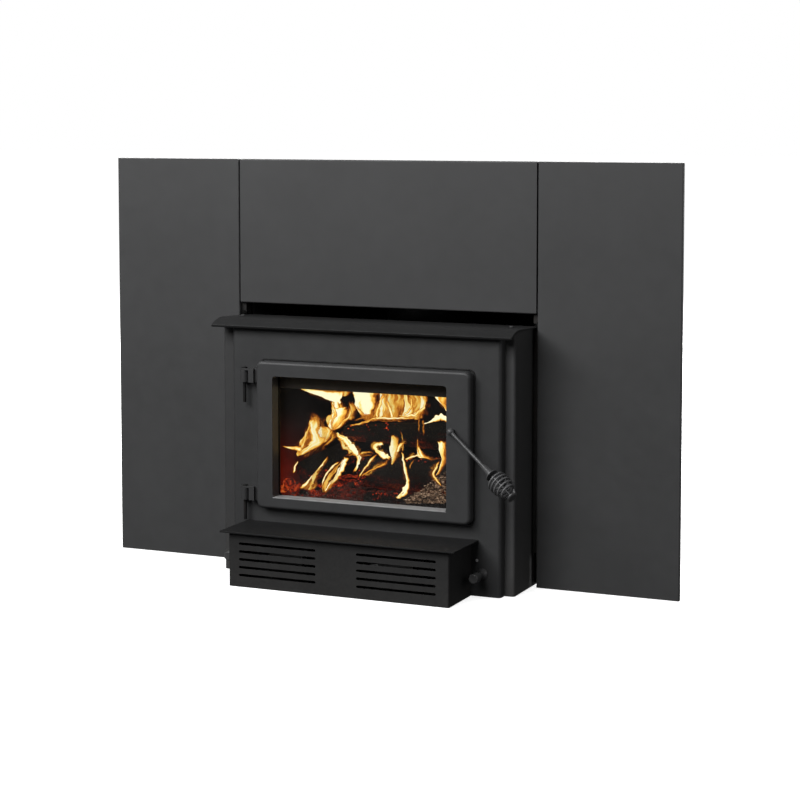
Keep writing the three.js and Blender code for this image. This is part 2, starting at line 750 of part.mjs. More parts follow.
/** The bent strip over the opening, which turns the air down behind the glass. */
function airWashBar() {
  const front = wallBack + GAP;
  const foot = openingTop + SEAL_LAND;
  const profile = outline([
    [front, foot + WASH_BAR_FLANGE],
    [front, foot],
    [front + WASH_BAR_SLANT, foot - WASH_BAR_DROP],
    [front + WASH_BAR_SLANT + WASH_BAR_SHEET, foot - WASH_BAR_DROP],
    [front + WASH_BAR_SHEET, foot + WASH_BAR_SHEET / 2],
    [front + WASH_BAR_SHEET, foot + WASH_BAR_FLANGE],
  ]);
  return widened(profile, doorMiddle - hearthHalf, doorMiddle + hearthHalf);
}

// ---------------------------------------------------------------- blower sizes shared with the front plate

const scrollStartRadius = WHEEL_RADIUS + SCROLL_CLEARANCE + SCROLL_WALL;
const scrollBottom = BLOWER_Z - scrollStartRadius - SCROLL_GROWTH;
const scrollTongueZ = BLOWER_Z - SCROLL_CLEARANCE;
const scrollHalf = WHEEL_WIDTH / 2 + SCROLL_SIDE + SCROLL_WALL;
const scrollInnerHalf = scrollHalf - SCROLL_WALL;

add("front_plate", frontPlate(), satinPaint);
add("firebox_shell", fireboxShell(), blackSteel);
add("flue_collar", flueCollar(), castPaint);
addFloorBricks();
add("side_brick_left", sideBrick(-1), fireclay);
add("side_brick_right", sideBrick(1), fireclay);
add(
  "rear_brick",
  block([doorMiddle - hearthHalf, doorMiddle + hearthHalf], [liningBack - BRICK, liningBack], brickZ),
  fireclay,
);
add("tube_rail_left", tubeRail(-1), blackSteel);
add("tube_rail_right", tubeRail(1), blackSteel);
addAirTubes();
add(
  "baffle_board",
  block(
    [doorMiddle - shellInner + GAP, doorMiddle + shellInner - GAP],
    [-BAFFLE_FRONT, liningBack],
    [railBottom + RAIL + GAP, railBottom + RAIL + GAP + BAFFLE_THICKNESS],
  ),
  ceramicBoard,
);
add("air_wash_bar", airWashBar(), blackSteel);

// ---------------------------------------------------------------- primary air control

const airBoxTop = FIREBOX_FLOOR - GAP;
const airBoxBottom = airBoxTop - AIR_BOX_HEIGHT;
const airSlotBack = AIR_BOX_Y[1] - AIR_SLOT_MARGIN;
const damperTop = airBoxBottom - GAP;
const damperBottom = damperTop - DAMPER_THICKNESS;
const damperBack = airSlotBack + DAMPER_LAP;

/** The intake under the firebox's floor: a tray that is open upwards, with a slot in its bottom. */
function airBox() {
  return cut(
    block(AIR_BOX_X, AIR_BOX_Y, [airBoxBottom, airBoxTop]),
    block(
      [AIR_BOX_X[0] + AIR_BOX_WALL, AIR_BOX_X[1] - AIR_BOX_WALL],
      [AIR_BOX_Y[0] + AIR_BOX_WALL, AIR_BOX_Y[1] - AIR_BOX_WALL],
      [airBoxBottom + AIR_BOX_WALL, airBoxTop + PAST],
    ),
    block(
      [AIR_BOX_X[0] + AIR_SLOT_MARGIN, AIR_BOX_X[1] - AIR_SLOT_MARGIN],
      [airSlotBack - AIR_SLOT_LENGTH, airSlotBack],
      [airBoxBottom - PAST, airBoxTop],
    ),
  );
}

/** The sliding plate that closes the slot, with a tab down to the rod. */
function airDamper() {
  const tabX = [rodX - DAMPER_TAB / 2, rodX + DAMPER_TAB / 2];
  const plate = block(
    [tabX[0], AIR_BOX_X[1] - AIR_SLOT_MARGIN + DAMPER_LAP],
    [airSlotBack - AIR_SLOT_LENGTH - DAMPER_LAP, damperBack],
    [damperBottom, damperTop],
  );
  const tab = block(tabX, [damperBack - DAMPER_THICKNESS, damperBack], [ROD_Z - DAMPER_TAB / 2, damperTop]);
  const bore = bar(at(rodX, damperBack - 2 * DAMPER_THICKNESS, ROD_Z), BACK, 3 * DAMPER_THICKNESS,
    ROD_RADIUS + GAP);
  return cut(join(plate, tab), bore);
}

/** The turned knob on the rod's front end, hollow where the rod goes in. */
function airKnob() {
  const socket = ROD_RADIUS + GAP;
  const socketDepth = AIR_KNOB_LENGTH / 2;
  const profile = [
    [0, 0],
    [AIR_KNOB_RADIUS - KNOB_CHAMFER, 0],
    [AIR_KNOB_RADIUS, KNOB_CHAMFER],
    [AIR_KNOB_RADIUS, AIR_KNOB_LENGTH / 2],
    [AIR_KNOB_NECK, AIR_KNOB_LENGTH],
    [socket, AIR_KNOB_LENGTH],
    [socket, AIR_KNOB_LENGTH - socketDepth],
    [0, AIR_KNOB_LENGTH - socketDepth],
  ].map(([radius, height]) => new THREE.Vector2(radius, height));
  return solid(new THREE.LatheGeometry(profile, ROUND_SIDES).translate(rodX, -AIR_KNOB_FRONT, ROD_Z));
}

/** The tapered bracket on the front plate that guides the rod. */
function rodGuide() {
  const foot = platePlane - GAP;
  const side = outline([
    [foot, GUIDE_BOTTOM],
    [foot, ROD_Z + GUIDE_NOSE],
    [-GUIDE_FRONT, ROD_Z + GUIDE_NOSE, GUIDE_ROUND],
    [-GUIDE_FRONT, ROD_Z - GUIDE_NOSE, GUIDE_ROUND],
  ]);
  const bore = bar(at(rodX, -GUIDE_FRONT - PAST, ROD_Z), BACK, GUIDE_FRONT - PLATE_FRONT + 2 * PAST,
    ROD_RADIUS + BORE_CLEARANCE);
  return cut(widened(side, rodX - GUIDE_WIDTH / 2, rodX + GUIDE_WIDTH / 2), bore);
}

const rodFront = -AIR_KNOB_FRONT + AIR_KNOB_LENGTH / 2 + GAP;
add("air_box", airBox(), blackSteel);
add("air_damper", airDamper(), bareSteel);
add("air_rod", bar(at(rodX, rodFront, ROD_Z), BACK, ROD_BACK - rodFront, ROD_RADIUS), bareSteel);
add("air_knob", airKnob(), blackPlastic);
add("rod_guide", rodGuide(), blackSteel);

// ---------------------------------------------------------------- blower and ash shelf

/** The blower's cover: a box that is open at the back, with two groups of slots in its front. */
function blowerHousing() {
  const half = HOUSING_WIDTH / 2;
  const back = platePlane - GAP;
  const outer = outline([
    [-half, back], [-half, -HOUSING_FRONT, HOUSING_BEND], [half, -HOUSING_FRONT, HOUSING_BEND], [half, back],
  ]);
  const inner = block(
    [-half + HOUSING_SHEET, half - HOUSING_SHEET],
    [-HOUSING_FRONT + HOUSING_SHEET, back + PAST],
    [HOUSING_SHEET, HOUSING_HEIGHT - HOUSING_SHEET],
  );
  const slots = [];
  for (const [left, right] of SLOT_GROUPS) {
    for (let i = 0; i < SLOT_COUNT; i += 1) {
      const middle = SLOT_LOWEST + i * SLOT_PITCH;
      const slot = rectangle(
        left, right, middle - SLOT_HEIGHT / 2, middle + SLOT_HEIGHT / 2, (SLOT_HEIGHT - SLOT_END_FLAT) / 2);
      slots.push(deepened(slot, -HOUSING_FRONT - PAST, -HOUSING_FRONT + HOUSING_SHEET + PAST));
    }
  }
  return cut(raised(outer, 0, HOUSING_HEIGHT), inner, ...slots);
}

/** The motor, with its foot on the cover's floor and a bore for the shaft. */
function blowerMotor() {
  const start = at(-MOTOR_LENGTH / 2, BLOWER_Y, BLOWER_Z);
  const [footLength, footWidth] = MOTOR_FOOT;
  const foot = block(
    [-footLength / 2, footLength / 2],
    [BLOWER_Y - footWidth / 2, BLOWER_Y + footWidth / 2],
    [HOUSING_SHEET + GAP, BLOWER_Z - MOTOR_RADIUS / 2],
  );
  const bore = bar(start.clone().addScaledVector(RIGHT, -PAST), RIGHT, MOTOR_LENGTH + 2 * PAST,
    SHAFT_RADIUS + BORE_CLEARANCE);
  return cut(join(bar(start, RIGHT, MOTOR_LENGTH, MOTOR_RADIUS), foot), bore);
}

/** A squirrel-cage wheel: a middle disc on a hub, blades round it, and a ring at each end. */
function blowerWheel(x) {
  const left = x - WHEEL_WIDTH / 2;
  const start = (dx) => at(left + dx, BLOWER_Y, BLOWER_Z);
  const ring = (dx) => cut(
    bar(start(dx), RIGHT, WHEEL_DISC, WHEEL_RADIUS),
    bar(start(dx - PAST), RIGHT, WHEEL_DISC + 2 * PAST, WHEEL_RADIUS - WHEEL_RING),
  );
  const pieces = [
    bar(start(WHEEL_WIDTH / 2 - WHEEL_DISC / 2), RIGHT, WHEEL_DISC, WHEEL_RADIUS - WELD),
    bar(start(WHEEL_WIDTH / 2 - WHEEL_HUB), RIGHT, 2 * WHEEL_HUB, WHEEL_HUB),
    ring(0),
    ring(WHEEL_WIDTH - WHEEL_DISC),
  ];
  for (let i = 0; i < WHEEL_BLADES; i += 1) {
    const blade = new THREE.BoxGeometry(WHEEL_WIDTH - WHEEL_DISC, BLADE_THICKNESS, BLADE_DEPTH);
    blade.rotateX(BLADE_ANGLE).translate(0, 0, WHEEL_RADIUS - BLADE_INSET);
    blade.rotateX((2 * Math.PI * i) / WHEEL_BLADES).translate(x, BLOWER_Y, BLOWER_Z);
    pieces.push(solid(blade));
  }
  return cut(join(...pieces), bar(start(-PAST), RIGHT, WHEEL_WIDTH + 2 * PAST, SHAFT_RADIUS + GAP));
}

/** The side view of a scroll, drawn smaller by an inset, ending at a depth. */
function scrollOutline(inset, mouth) {
  const points = [new THREE.Vector2(mouth, scrollTongueZ - inset)];
  for (let i = 0; i <= SCROLL_STEPS; i += 1) {
    const share = i / SCROLL_STEPS;
    const angle = share * SCROLL_SWEEP;
    const radius = scrollStartRadius + SCROLL_GROWTH * share - inset;
    points.push(new THREE.Vector2(BLOWER_Y + radius * Math.cos(angle), BLOWER_Z + radius * Math.sin(angle)));
  }
  points.push(new THREE.Vector2(mouth, scrollBottom + inset));
  return new THREE.Shape(points);
}

/** A scroll round one wheel, open at both inlets and at its mouth on the front plate. */
function blowerScroll(x) {
  const mouth = platePlane - GAP;
  const reach = scrollHalf + PAST;
  const inlet = bar(at(x - reach, BLOWER_Y, BLOWER_Z), RIGHT, 2 * reach, SCROLL_INLET);
  return cut(
    widened(scrollOutline(0, mouth), x - scrollHalf, x + scrollHalf),
    widened(scrollOutline(SCROLL_WALL, mouth + PAST), x - scrollInnerHalf, x + scrollInnerHalf),
    inlet,
  );
}

const shaftHalf = WHEEL_X + WHEEL_HUB + SCROLL_SIDE;
add("blower_housing", blowerHousing(), darkPaint);
add("blower_motor", blowerMotor(), blackSteel);
add(
  "blower_shaft",
  bar(at(-shaftHalf, BLOWER_Y, BLOWER_Z), RIGHT, 2 * shaftHalf, SHAFT_RADIUS),
  bareSteel,
);
[["left", -1], ["right", 1]].forEach(([name, side]) => {
  add(`blower_wheel_${name}`, blowerWheel(side * WHEEL_X), bareSteel);
  add(`blower_scroll_${name}`, blowerScroll(side * WHEEL_X), blackSteel);
});

const shelfBottom = HOUSING_HEIGHT + GAP;
const shelfPlan = outline([
  [-SHELF_WIDTH / 2, platePlane - GAP],
  [-SHELF_WIDTH / 2, -SHELF_FRONT, SHELF_CORNER],
  [SHELF_WIDTH / 2, -SHELF_FRONT, SHELF_CORNER],
  [SHELF_WIDTH / 2, platePlane - GAP],
]);
add("ash_shelf", raised(shelfPlan, shelfBottom, shelfBottom + SHELF_THICKNESS), satinPaint);

// ---------------------------------------------------------------- blower speed control

/** The knob: a turned cap on a neck with a flared skirt, and its shaft through the front plate. */
function speedKnob() {
  const skirtBack = platePlane - 2 * GAP;
  const skirtFront = skirtBack - SPEED_SKIRT_LENGTH;
  const capBack = -SPEED_KNOB_FRONT + SPEED_KNOB_LENGTH;
  const shaftEnd = plateBack + GAP + SPEED_BODY[1] / 2;
  const profile = [
    [0, -SPEED_KNOB_FRONT],
    [SPEED_KNOB_RADIUS - KNOB_CHAMFER, -SPEED_KNOB_FRONT],
    [SPEED_KNOB_RADIUS, -SPEED_KNOB_FRONT + KNOB_CHAMFER],
    [SPEED_KNOB_RADIUS, capBack],
    [SPEED_NECK_RADIUS, capBack + SPEED_CAP_SLOPE],
    [SPEED_NECK_RADIUS, skirtFront],
    [SPEED_SKIRT_RADIUS, skirtBack - KNOB_CHAMFER],
    [SPEED_SKIRT_RADIUS, skirtBack],
    [SPEED_SHAFT_RADIUS, skirtBack],
    [SPEED_SHAFT_RADIUS, shaftEnd],
    [0, shaftEnd],
  ].map(([radius, depth]) => new THREE.Vector2(radius, depth));
  return solid(new THREE.LatheGeometry(profile, ROUND_SIDES).translate(speedX, 0, SPEED_Z));
}

/** The control behind the plate, with a bore for the knob's shaft. */
function speedControl() {
  const [side, depth] = SPEED_BODY;
  const front = plateBack + GAP;
  const face = rectangle(
    speedX - side / 2, speedX + side / 2, SPEED_Z - side / 2, SPEED_Z + side / 2, SPEED_BODY_ROUND);
  const bore = bar(at(speedX, front - PAST, SPEED_Z), BACK, depth + 2 * PAST,
    SPEED_SHAFT_RADIUS + BORE_CLEARANCE);
  return cut(deepened(face, front, front + depth), bore);
}

add("speed_knob", speedKnob(), blackPlastic);
add("speed_control", speedControl(), blackPlastic);

// ---------------------------------------------------------------- door

function windowOutline(grow, radius = WINDOW_CORNER) {
  return rectangle(
    -WINDOW_LEFT - grow, WINDOW_RIGHT + grow, WINDOW_BOTTOM - grow, WINDOW_TOP + grow, radius);
}

function doorOutline(inset, radius = DOOR_CORNER - inset) {
  return rectangle(
    -DOOR_LEFT + inset, DOOR_RIGHT - inset, DOOR_BOTTOM + inset, DOOR_TOP - inset, radius);
}

/** A ring between two outlines, between two depths. */
function ringBetween(outer, inner, from, to) {
  outer.holes.push(inner);
  return deepened(outer, from, to);
}

/** The cast frame: rounded outer edge, window with its lining, gasket channel, bore for the handle. */
function doorFrame() {
  const soft = new THREE.ExtrudeGeometry(doorOutline(0), {
    depth: DOOR_THICKNESS,
    bevelThickness: DOOR_EDGE,
    bevelSize: DOOR_EDGE,
    bevelOffset: -DOOR_EDGE,
    bevelSegments: DOOR_EDGE_STEPS,
  });
  const body = solid(soft.rotateX(Math.PI / 2).translate(0, doorFront + DOOR_EDGE + DOOR_THICKNESS, 0));
  const behind = block(
    [-DOOR_LEFT - PAST, DOOR_RIGHT + PAST],
    [doorBack, doorBack + 2 * (DOOR_EDGE + PAST)],
    [DOOR_BOTTOM - PAST, DOOR_TOP + PAST],
  );
  const lining = deepened(windowOutline(LINING_WALL), doorBack - WELD, doorBack + LINING_DEPTH);
  const channel = ringBetween(
    doorOutline(DOOR_RIM),
    doorOutline(DOOR_RIM + GASKET_WIDTH, SEAL_ROUND),
    doorBack - GASKET_SEAT,
    doorBack + PAST,
  );
  return cut(
    join(cut(body, behind), lining),
    deepened(windowOutline(0), doorFront - PAST, doorBack + LINING_DEPTH + PAST),
    channel,
    bar(at(handleX, doorFront - PAST, HANDLE_HEIGHT), BACK, DOOR_THICKNESS + 2 * PAST,
      HANDLE_SHAFT_RADIUS + GAP),
  );
}

/** The frame that holds the pane, with four lugs forward to the door. */
function glassRetainer() {
  const front = glassBack + GAP;
  const back = front + RETAINER_THICKNESS;
  const paneZ = [WINDOW_BOTTOM - GLASS_LAP, WINDOW_TOP + GLASS_LAP];
  const lugs = [];
  for (const z of [paneZ[0] + RETAINER_LUG_INSET, paneZ[1] - RETAINER_LUG_INSET / 2]) {
    for (const x of [-WINDOW_LEFT - GLASS_LAP - GAP - RETAINER_LUG, glassRight + GAP]) {
      const height = [z - RETAINER_LUG_HEIGHT / 2, z + RETAINER_LUG_HEIGHT / 2];
      lugs.push(block([x, x + RETAINER_LUG], [doorBack + GAP, back], height));
      lugs.push(block([x - WELD, x + RETAINER_LUG + WELD], [front, back], height));
    }
  }
  return join(ringBetween(windowOutline(GLASS_LAP, SEAL_ROUND), windowOutline(0), front, back), ...lugs);
}

const gasketFit = { outer: DOOR_RIM + GAP, inner: DOOR_RIM + GASKET_WIDTH - GAP };
add("door_frame", doorFrame(), castPaint);
add("door_glass", deepened(windowOutline(GLASS_LAP), glassFront, glassBack), paneGlass);
add(
  "door_gasket",
  ringBetween(
    doorOutline(gasketFit.outer),
    doorOutline(gasketFit.inner, SEAL_ROUND + GAP),
    doorBack - GASKET_SEAT + GAP,
    platePlane - GAP,
  ),
  gasketRope,
);
add("glass_retainer", glassRetainer(), blackSteel);

// ---------------------------------------------------------------- hinges

/** The knuckle on the front plate: a barrel on a block, bored for the pin. Made at height zero. */
function hingeKnuckle() {
  const barrel = bar(at(hingeX, -HINGE_FRONT, 0), UP, HINGE_HEIGHT, KNUCKLE_RADIUS);
  const foot = block(
    [hingeX - KNUCKLE_RADIUS, hingeX + KNUCKLE_RADIUS],
    [-HINGE_FRONT, platePlane - GAP],
    [0, HINGE_HEIGHT],
  );
  const bore = bar(at(hingeX, -HINGE_FRONT, -PAST), UP, HINGE_HEIGHT + 2 * PAST, PIN_RADIUS + GAP);
  return cut(join(barrel, foot), bore);
}

/** The leaf on the door: a block, a thinner web to the door's edge, and a tongue over the knuckle. */
function hingeLeaf() {
  const blockX = [hingeX + KNUCKLE_RADIUS + LEAF_PASS, hingeX + KNUCKLE_RADIUS + LEAF_PASS + LEAF_BLOCK];
  const height = [0, HINGE_HEIGHT + GAP + LEAF_TONGUE];
  const tongueZ = [HINGE_HEIGHT + GAP, HINGE_HEIGHT + GAP + LEAF_TONGUE];
  const body = block(blockX, [-HINGE_FRONT - KNUCKLE_RADIUS, doorBack - GAP], height);
  const web = block(
    [blockX[1] - WELD, -DOOR_LEFT - GAP],
    [doorBack - GAP - LEAF_WEB, doorBack - GAP],
    height,
  );
  const tongue = join(
    bar(at(hingeX, -HINGE_FRONT, tongueZ[0]), UP, LEAF_TONGUE, KNUCKLE_RADIUS),
    block(
      [hingeX, blockX[0] + WELD],
      [-HINGE_FRONT - KNUCKLE_RADIUS, -HINGE_FRONT + KNUCKLE_RADIUS],
      tongueZ,
    ),
  );
  const bore = bar(at(hingeX, -HINGE_FRONT, tongueZ[0] - PAST), UP, LEAF_TONGUE + 2 * PAST, PIN_RADIUS + GAP);
  return cut(join(body, web, tongue), bore);
}

/** The loose pin: it hangs by its head on the tongue and ends below the knuckle. */
function hingePin() {
  const top = HINGE_HEIGHT + GAP + LEAF_TONGUE + GAP;
  const stem = bar(at(hingeX, -HINGE_FRONT, -PIN_TAIL), UP, PIN_TAIL + top + WELD, PIN_RADIUS);
  const head = bar(at(hingeX, -HINGE_FRONT, top), UP, PIN_HEAD_HEIGHT, PIN_HEAD);
  return join(stem, head);
}

[["upper", HINGE_UPPER], ["lower", HINGE_LOWER]].forEach(([name, height]) => {
  add(`hinge_knuckle_${name}`, hingeKnuckle(), castPaint).position.z = height;
  add(`hinge_leaf_${name}`, hingeLeaf(), castPaint).position.z = height;
  add(`hinge_pin_${name}`, hingePin(), blackSteel).position.z = height;
});

// ---------------------------------------------------------------- handle and latch

const camFront = glassBack - CAM_THICKNESS / 2;
const camBack = camFront + CAM_THICKNESS;
const bossCentre = at(handleX, doorFront - GAP - HANDLE_BOSS, HANDLE_HEIGHT);

/** A point on the handle's axis, at a distance from the boss. */
function onHandle(distance) {
  return HANDLE_DIRECTION.clone().multiplyScalar(distance).add(bossCentre);
}

const ferruleStart = HANDLE_ROD_LENGTH;
const collarStart = ferruleStart + FERRULE_LENGTH;
const coilStart = collarStart + FERRULE_COLLAR_LENGTH + GAP;
const buttonStart = coilStart + COIL_LENGTH + GAP;

/** The bent rod: shaft through the door, boss, thin rod, tapered ferrule, core and end button. */
function handleRod() {
  const boss = solid(
    pointed(new THREE.SphereGeometry(HANDLE_BOSS, HANDLE_SIDES, HANDLE_SIDES / 2), bossCentre, UP),
  );
  const collarEnd = collarStart + FERRULE_COLLAR_LENGTH;
  const profile = [
    [0, 0],
    [HANDLE_ROD_RADIUS, 0],
    [HANDLE_ROD_RADIUS, ferruleStart],
    [FERRULE_THIN, ferruleStart],
    [FERRULE_THICK, collarStart],
    [FERRULE_COLLAR, collarStart],
    [FERRULE_COLLAR, collarEnd],
    [COIL_CORE, collarEnd],
    [COIL_CORE, buttonStart],
    [BUTTON_RADIUS, buttonStart],
    [BUTTON_RADIUS, buttonStart + BUTTON_LENGTH / 2],
    [BUTTON_RADIUS - BUTTON_CHAMFER, buttonStart + BUTTON_LENGTH],
    [0, buttonStart + BUTTON_LENGTH],
  ].map(([radius, distance]) => new THREE.Vector2(radius, distance));
  const turned = new THREE.LatheGeometry(profile, HANDLE_SIDES).rotateX(Math.PI / 2);
  return join(
    solid(pointed(turned, bossCentre, HANDLE_DIRECTION)),
    bar(bossCentre, BACK, camBack + GAP - bossCentre.y, HANDLE_SHAFT_RADIUS),
    boss,
  );
}

/** Mean radius of the coil at a share of its length: a belly between a wide and a narrow end. */
function coilRadius(share) {
  const belly = Math.sin(Math.PI * Math.min(1, Math.max(0, share)) ** COIL_BELLY_SKEW);
  return COIL_START + (COIL_END - COIL_START) * share + COIL_BULGE * belly;
}

/**
 * The coil's centre line along +Z: straight for one wire diameter, eased into the helix, and eased out
 * to a straight end again. The lead angle is a quarter turn where the wire runs along the axis.
 */
function coilPath() {
  const ease = COIL_EASE * COIL_WIRE;
  const stride = COIL_STRIDE;
  const points = [];
  const keep = [];
  let turn = 0;
  let height = 0;
  let travelled = 0;
  const endRise = COIL_WIRE + ease / 2;
  let leaving = -1;
  while (height < COIL_LENGTH) {
    const radius = coilRadius(height / COIL_LENGTH);
    const lead = Math.atan2(COIL_PITCH, 2 * Math.PI * radius);
    if (leaving < 0 && height >= COIL_LENGTH - endRise) {
      leaving = travelled;
    }
    const into = THREE.MathUtils.smoothstep(travelled, COIL_WIRE, COIL_WIRE + ease);
    const out = leaving < 0 ? 0 : THREE.MathUtils.smoothstep(travelled, leaving, leaving + ease);
    const angle = lead + (Math.PI / 2 - lead) * Math.max(1 - into, out);
    const slope = (coilRadius((height + stride) / COIL_LENGTH) - radius) / stride;
    const straight = Math.max(1 - into, out) > 0.999;
    const reach = straight && points.length ? points.at(-1).radius : radius;
    points.push({ turn, height, radius: reach, travelled });
    const rise = (stride * Math.sin(angle)) / Math.hypot(1, straight ? 0 : slope * Math.sin(angle));
    height += rise;
    turn += (stride * Math.cos(angle)) / radius;
    travelled += stride;
  }
  const end = points.at(-1);
  points.push({ ...end, height: COIL_LENGTH, travelled: end.travelled + COIL_LENGTH - end.height });
  let nextAt = 0;
  points.forEach((point, i) => {
    const arc = (2 * Math.PI * point.radius) / COIL_STEPS;
    const step = easing(point, leaving, ease) ? Math.min(arc, COIL_EASE_STEP) : arc;
    if (point.travelled >= nextAt || i === points.length - 1) {
      keep.push(at(point.radius * Math.cos(point.turn), point.radius * Math.sin(point.turn), point.height));
      nextAt = point.travelled + step;
    }
  });
  return keep;
}

/** Whether a point of the coil lies in one of its two eased ends. */
function easing(point, leaving, ease) {
  return point.travelled < COIL_WIRE + ease || point.travelled > leaving;
}

/** A closed tube of round section along a list of points, capped flat at both ends. */
function tubeAlong(path, radius, sides) {
  const positions = [];
  const faces = [];
  let side = new THREE.Vector3(1, 0, 0);
  path.forEach((point, i) => {
    const before = path[Math.max(0, i - 1)];
    const after = path[Math.min(path.length - 1, i + 1)];
    const along = after.clone().sub(before).normalize();
    side.sub(along.clone().multiplyScalar(side.dot(along))).normalize();
    const other = along.clone().cross(side);
    for (let k = 0; k < sides; k += 1) {
      const angle = (2 * Math.PI * k) / sides;
      const rim = side.clone().multiplyScalar(Math.cos(angle)).addScaledVector(other, Math.sin(angle));
      positions.push(...rim.multiplyScalar(radius).add(point).toArray());
    }
    side = side.clone();
  });
  for (let i = 0; i < path.length - 1; i += 1) {
    for (let k = 0; k < sides; k += 1) {
      const here = i * sides + k;
      const next = i * sides + ((k + 1) % sides);
      faces.push(here, next, here + sides, next, next + sides, here + sides);
    }
  }
  for (let k = 1; k < sides - 1; k += 1) {
    const last = (path.length - 1) * sides;
    faces.push(0, k + 1, k, last, last + k, last + k + 1);
  }
  const geometry = new THREE.BufferGeometry();
  geometry.setAttribute("position", new THREE.Float32BufferAttribute(positions, 3));
  geometry.setIndex(faces);
  geometry.computeVertexNormals();
  return geometry;
}

/** The least clear distance between stretches of the tube that are not neighbours along it. */
function leastGap(path, diameter) {
  const travelled = [0];
  for (let i = 1; i < path.length; i += 1) {
    travelled.push(travelled[i - 1] + path[i].distanceTo(path[i - 1]));
  }
  let least = Infinity;
  path.forEach((a, i) => {
    path.forEach((b, j) => {
      if (travelled[j] - travelled[i] > Math.PI * diameter) {
        least = Math.min(least, a.distanceTo(b) - diameter);
      }
    });
  });
  return least;
}

const coilLine = coilPath();
console.log(`handle_coil: least gap to itself ${leastGap(coilLine, COIL_WIRE).toFixed(2)} mm`);

/** The cam on the shaft's end, which turns behind the keeper when the door is latched. */
function latchCam() {
  const nose = at(handleX + CAM_REACH - CAM_HUB / 2, camFront, HANDLE_HEIGHT);
  const hub = bar(at(handleX, camFront, HANDLE_HEIGHT), BACK, CAM_THICKNESS, CAM_HUB);
  const arm = block(
    [handleX, handleX + CAM_REACH - CAM_HUB / 2],
    [camFront, camBack],
    [HANDLE_HEIGHT - CAM_HUB / 2, HANDLE_HEIGHT + CAM_HUB / 2],
  );
  const bore = bar(at(handleX, camFront - PAST, HANDLE_HEIGHT), BACK, CAM_THICKNESS + 2 * PAST,
    HANDLE_SHAFT_RADIUS + GAP);
  return cut(join(hub, arm, bar(nose, BACK, CAM_THICKNESS, CAM_HUB / 2)), bore);
}

const keeperLeft = handleX + CAM_REACH + KEEPER_PASS;
add("handle_rod", handleRod(), bareSteel);
add(
  "handle_coil",
  pointed(tubeAlong(coilLine, COIL_WIRE / 2, COIL_SIDES), onHandle(coilStart), HANDLE_DIRECTION),
  bareSteel,
);
add("latch_cam", latchCam(), bareSteel);
add(
  "latch_keeper",
  block(
    [keeperLeft, openingRight + KEEPER_LAP],
    [wallBack + GAP, wallBack + GAP + KEEPER_DEPTH],
    [HANDLE_HEIGHT - KEEPER_HEIGHT / 2, HANDLE_HEIGHT + KEEPER_HEIGHT / 2],
  ),
  bareSteel,
);

// ---------------------------------------------------------------- fire bed

const emberTop = hearthTop + GAP + EMBER_HEIGHT;

/** The bed of embers and ash: a mound with an upright foot and a sloping rim. */
function emberBed() {
  const half = hearthHalf - EMBER_SIDE;
  const slope = EMBER_HEIGHT - EMBER_FOOT;
  const plan = rectangle(doorMiddle - half, doorMiddle + half, -EMBER_FRONT, EMBER_BACK, EMBER_CORNER);
  const mound = new THREE.ExtrudeGeometry(plan, {
    depth: EMBER_HEIGHT,
    bevelThickness: slope,
    bevelSize: EMBER_SHOULDER,
    bevelOffset: -EMBER_SHOULDER,
    bevelSegments: EDGE_STEPS,
  });
  const buried = block(
    [doorMiddle - half - PAST, doorMiddle + half + PAST],
    [-EMBER_FRONT - PAST, EMBER_BACK + PAST],
    [emberTop - 2 * EMBER_HEIGHT - slope, hearthTop + GAP],
  );
  return cut(solid(mound.translate(0, 0, emberTop - slope - EMBER_HEIGHT)), buried);
}

/** A log between two points, with the radii of its two ends. */
function log(start, end, [startRadius, endRadius]) {
  const run = end.clone().sub(start);
  return bar(start, run.clone().normalize(), run.length(), startRadius, endRadius, LOG_SIDES);
}

const [rightZ, rightEndZ] = LOG_RIGHT_RADII.map((radius) => emberTop + LOG_REST + radius);
const stack = LOG_RIGHT_RADII[1] + LOG_UPPER_RADII[1] + LOG_REST;
const upperZ = rightEndZ + Math.sqrt(stack ** 2 - (LOG_UPPER_Y - LOG_RIGHT_Y) ** 2);
const leftZ = emberTop + LOG_REST + LOG_LEFT_RADII[0];
add("ember_bed", emberBed(), glowingEmber);
add(
  "log_right",
  log(at(LOG_RIGHT_X[0], LOG_RIGHT_Y, rightZ), at(LOG_RIGHT_X[1], LOG_RIGHT_Y, rightEndZ), LOG_RIGHT_RADII),
  charredWood,
);
add(
  "log_upper",
  log(
    at(LOG_UPPER_X[0], LOG_UPPER_Y, upperZ - LOG_UPPER_FALL),
    at(LOG_UPPER_X[1], LOG_UPPER_Y, upperZ),
    LOG_UPPER_RADII,
  ),
  charredWood,
);
add(
  "log_left",
  log(at(...LOG_LEFT_START, leftZ), at(...LOG_LEFT_END, leftZ + LOG_LEFT_RISE), LOG_LEFT_RADII),
  charredWood,
);

export default insert;
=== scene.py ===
"""Looks of the wood-burning fireplace insert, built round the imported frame.

Metres. +X is right seen from the front, +Y goes back into the fireplace, +Z is up.
"""

import itertools
import math
import random

import bmesh
import bpy
import numpy as np
from mathutils import Matrix, Vector, noise


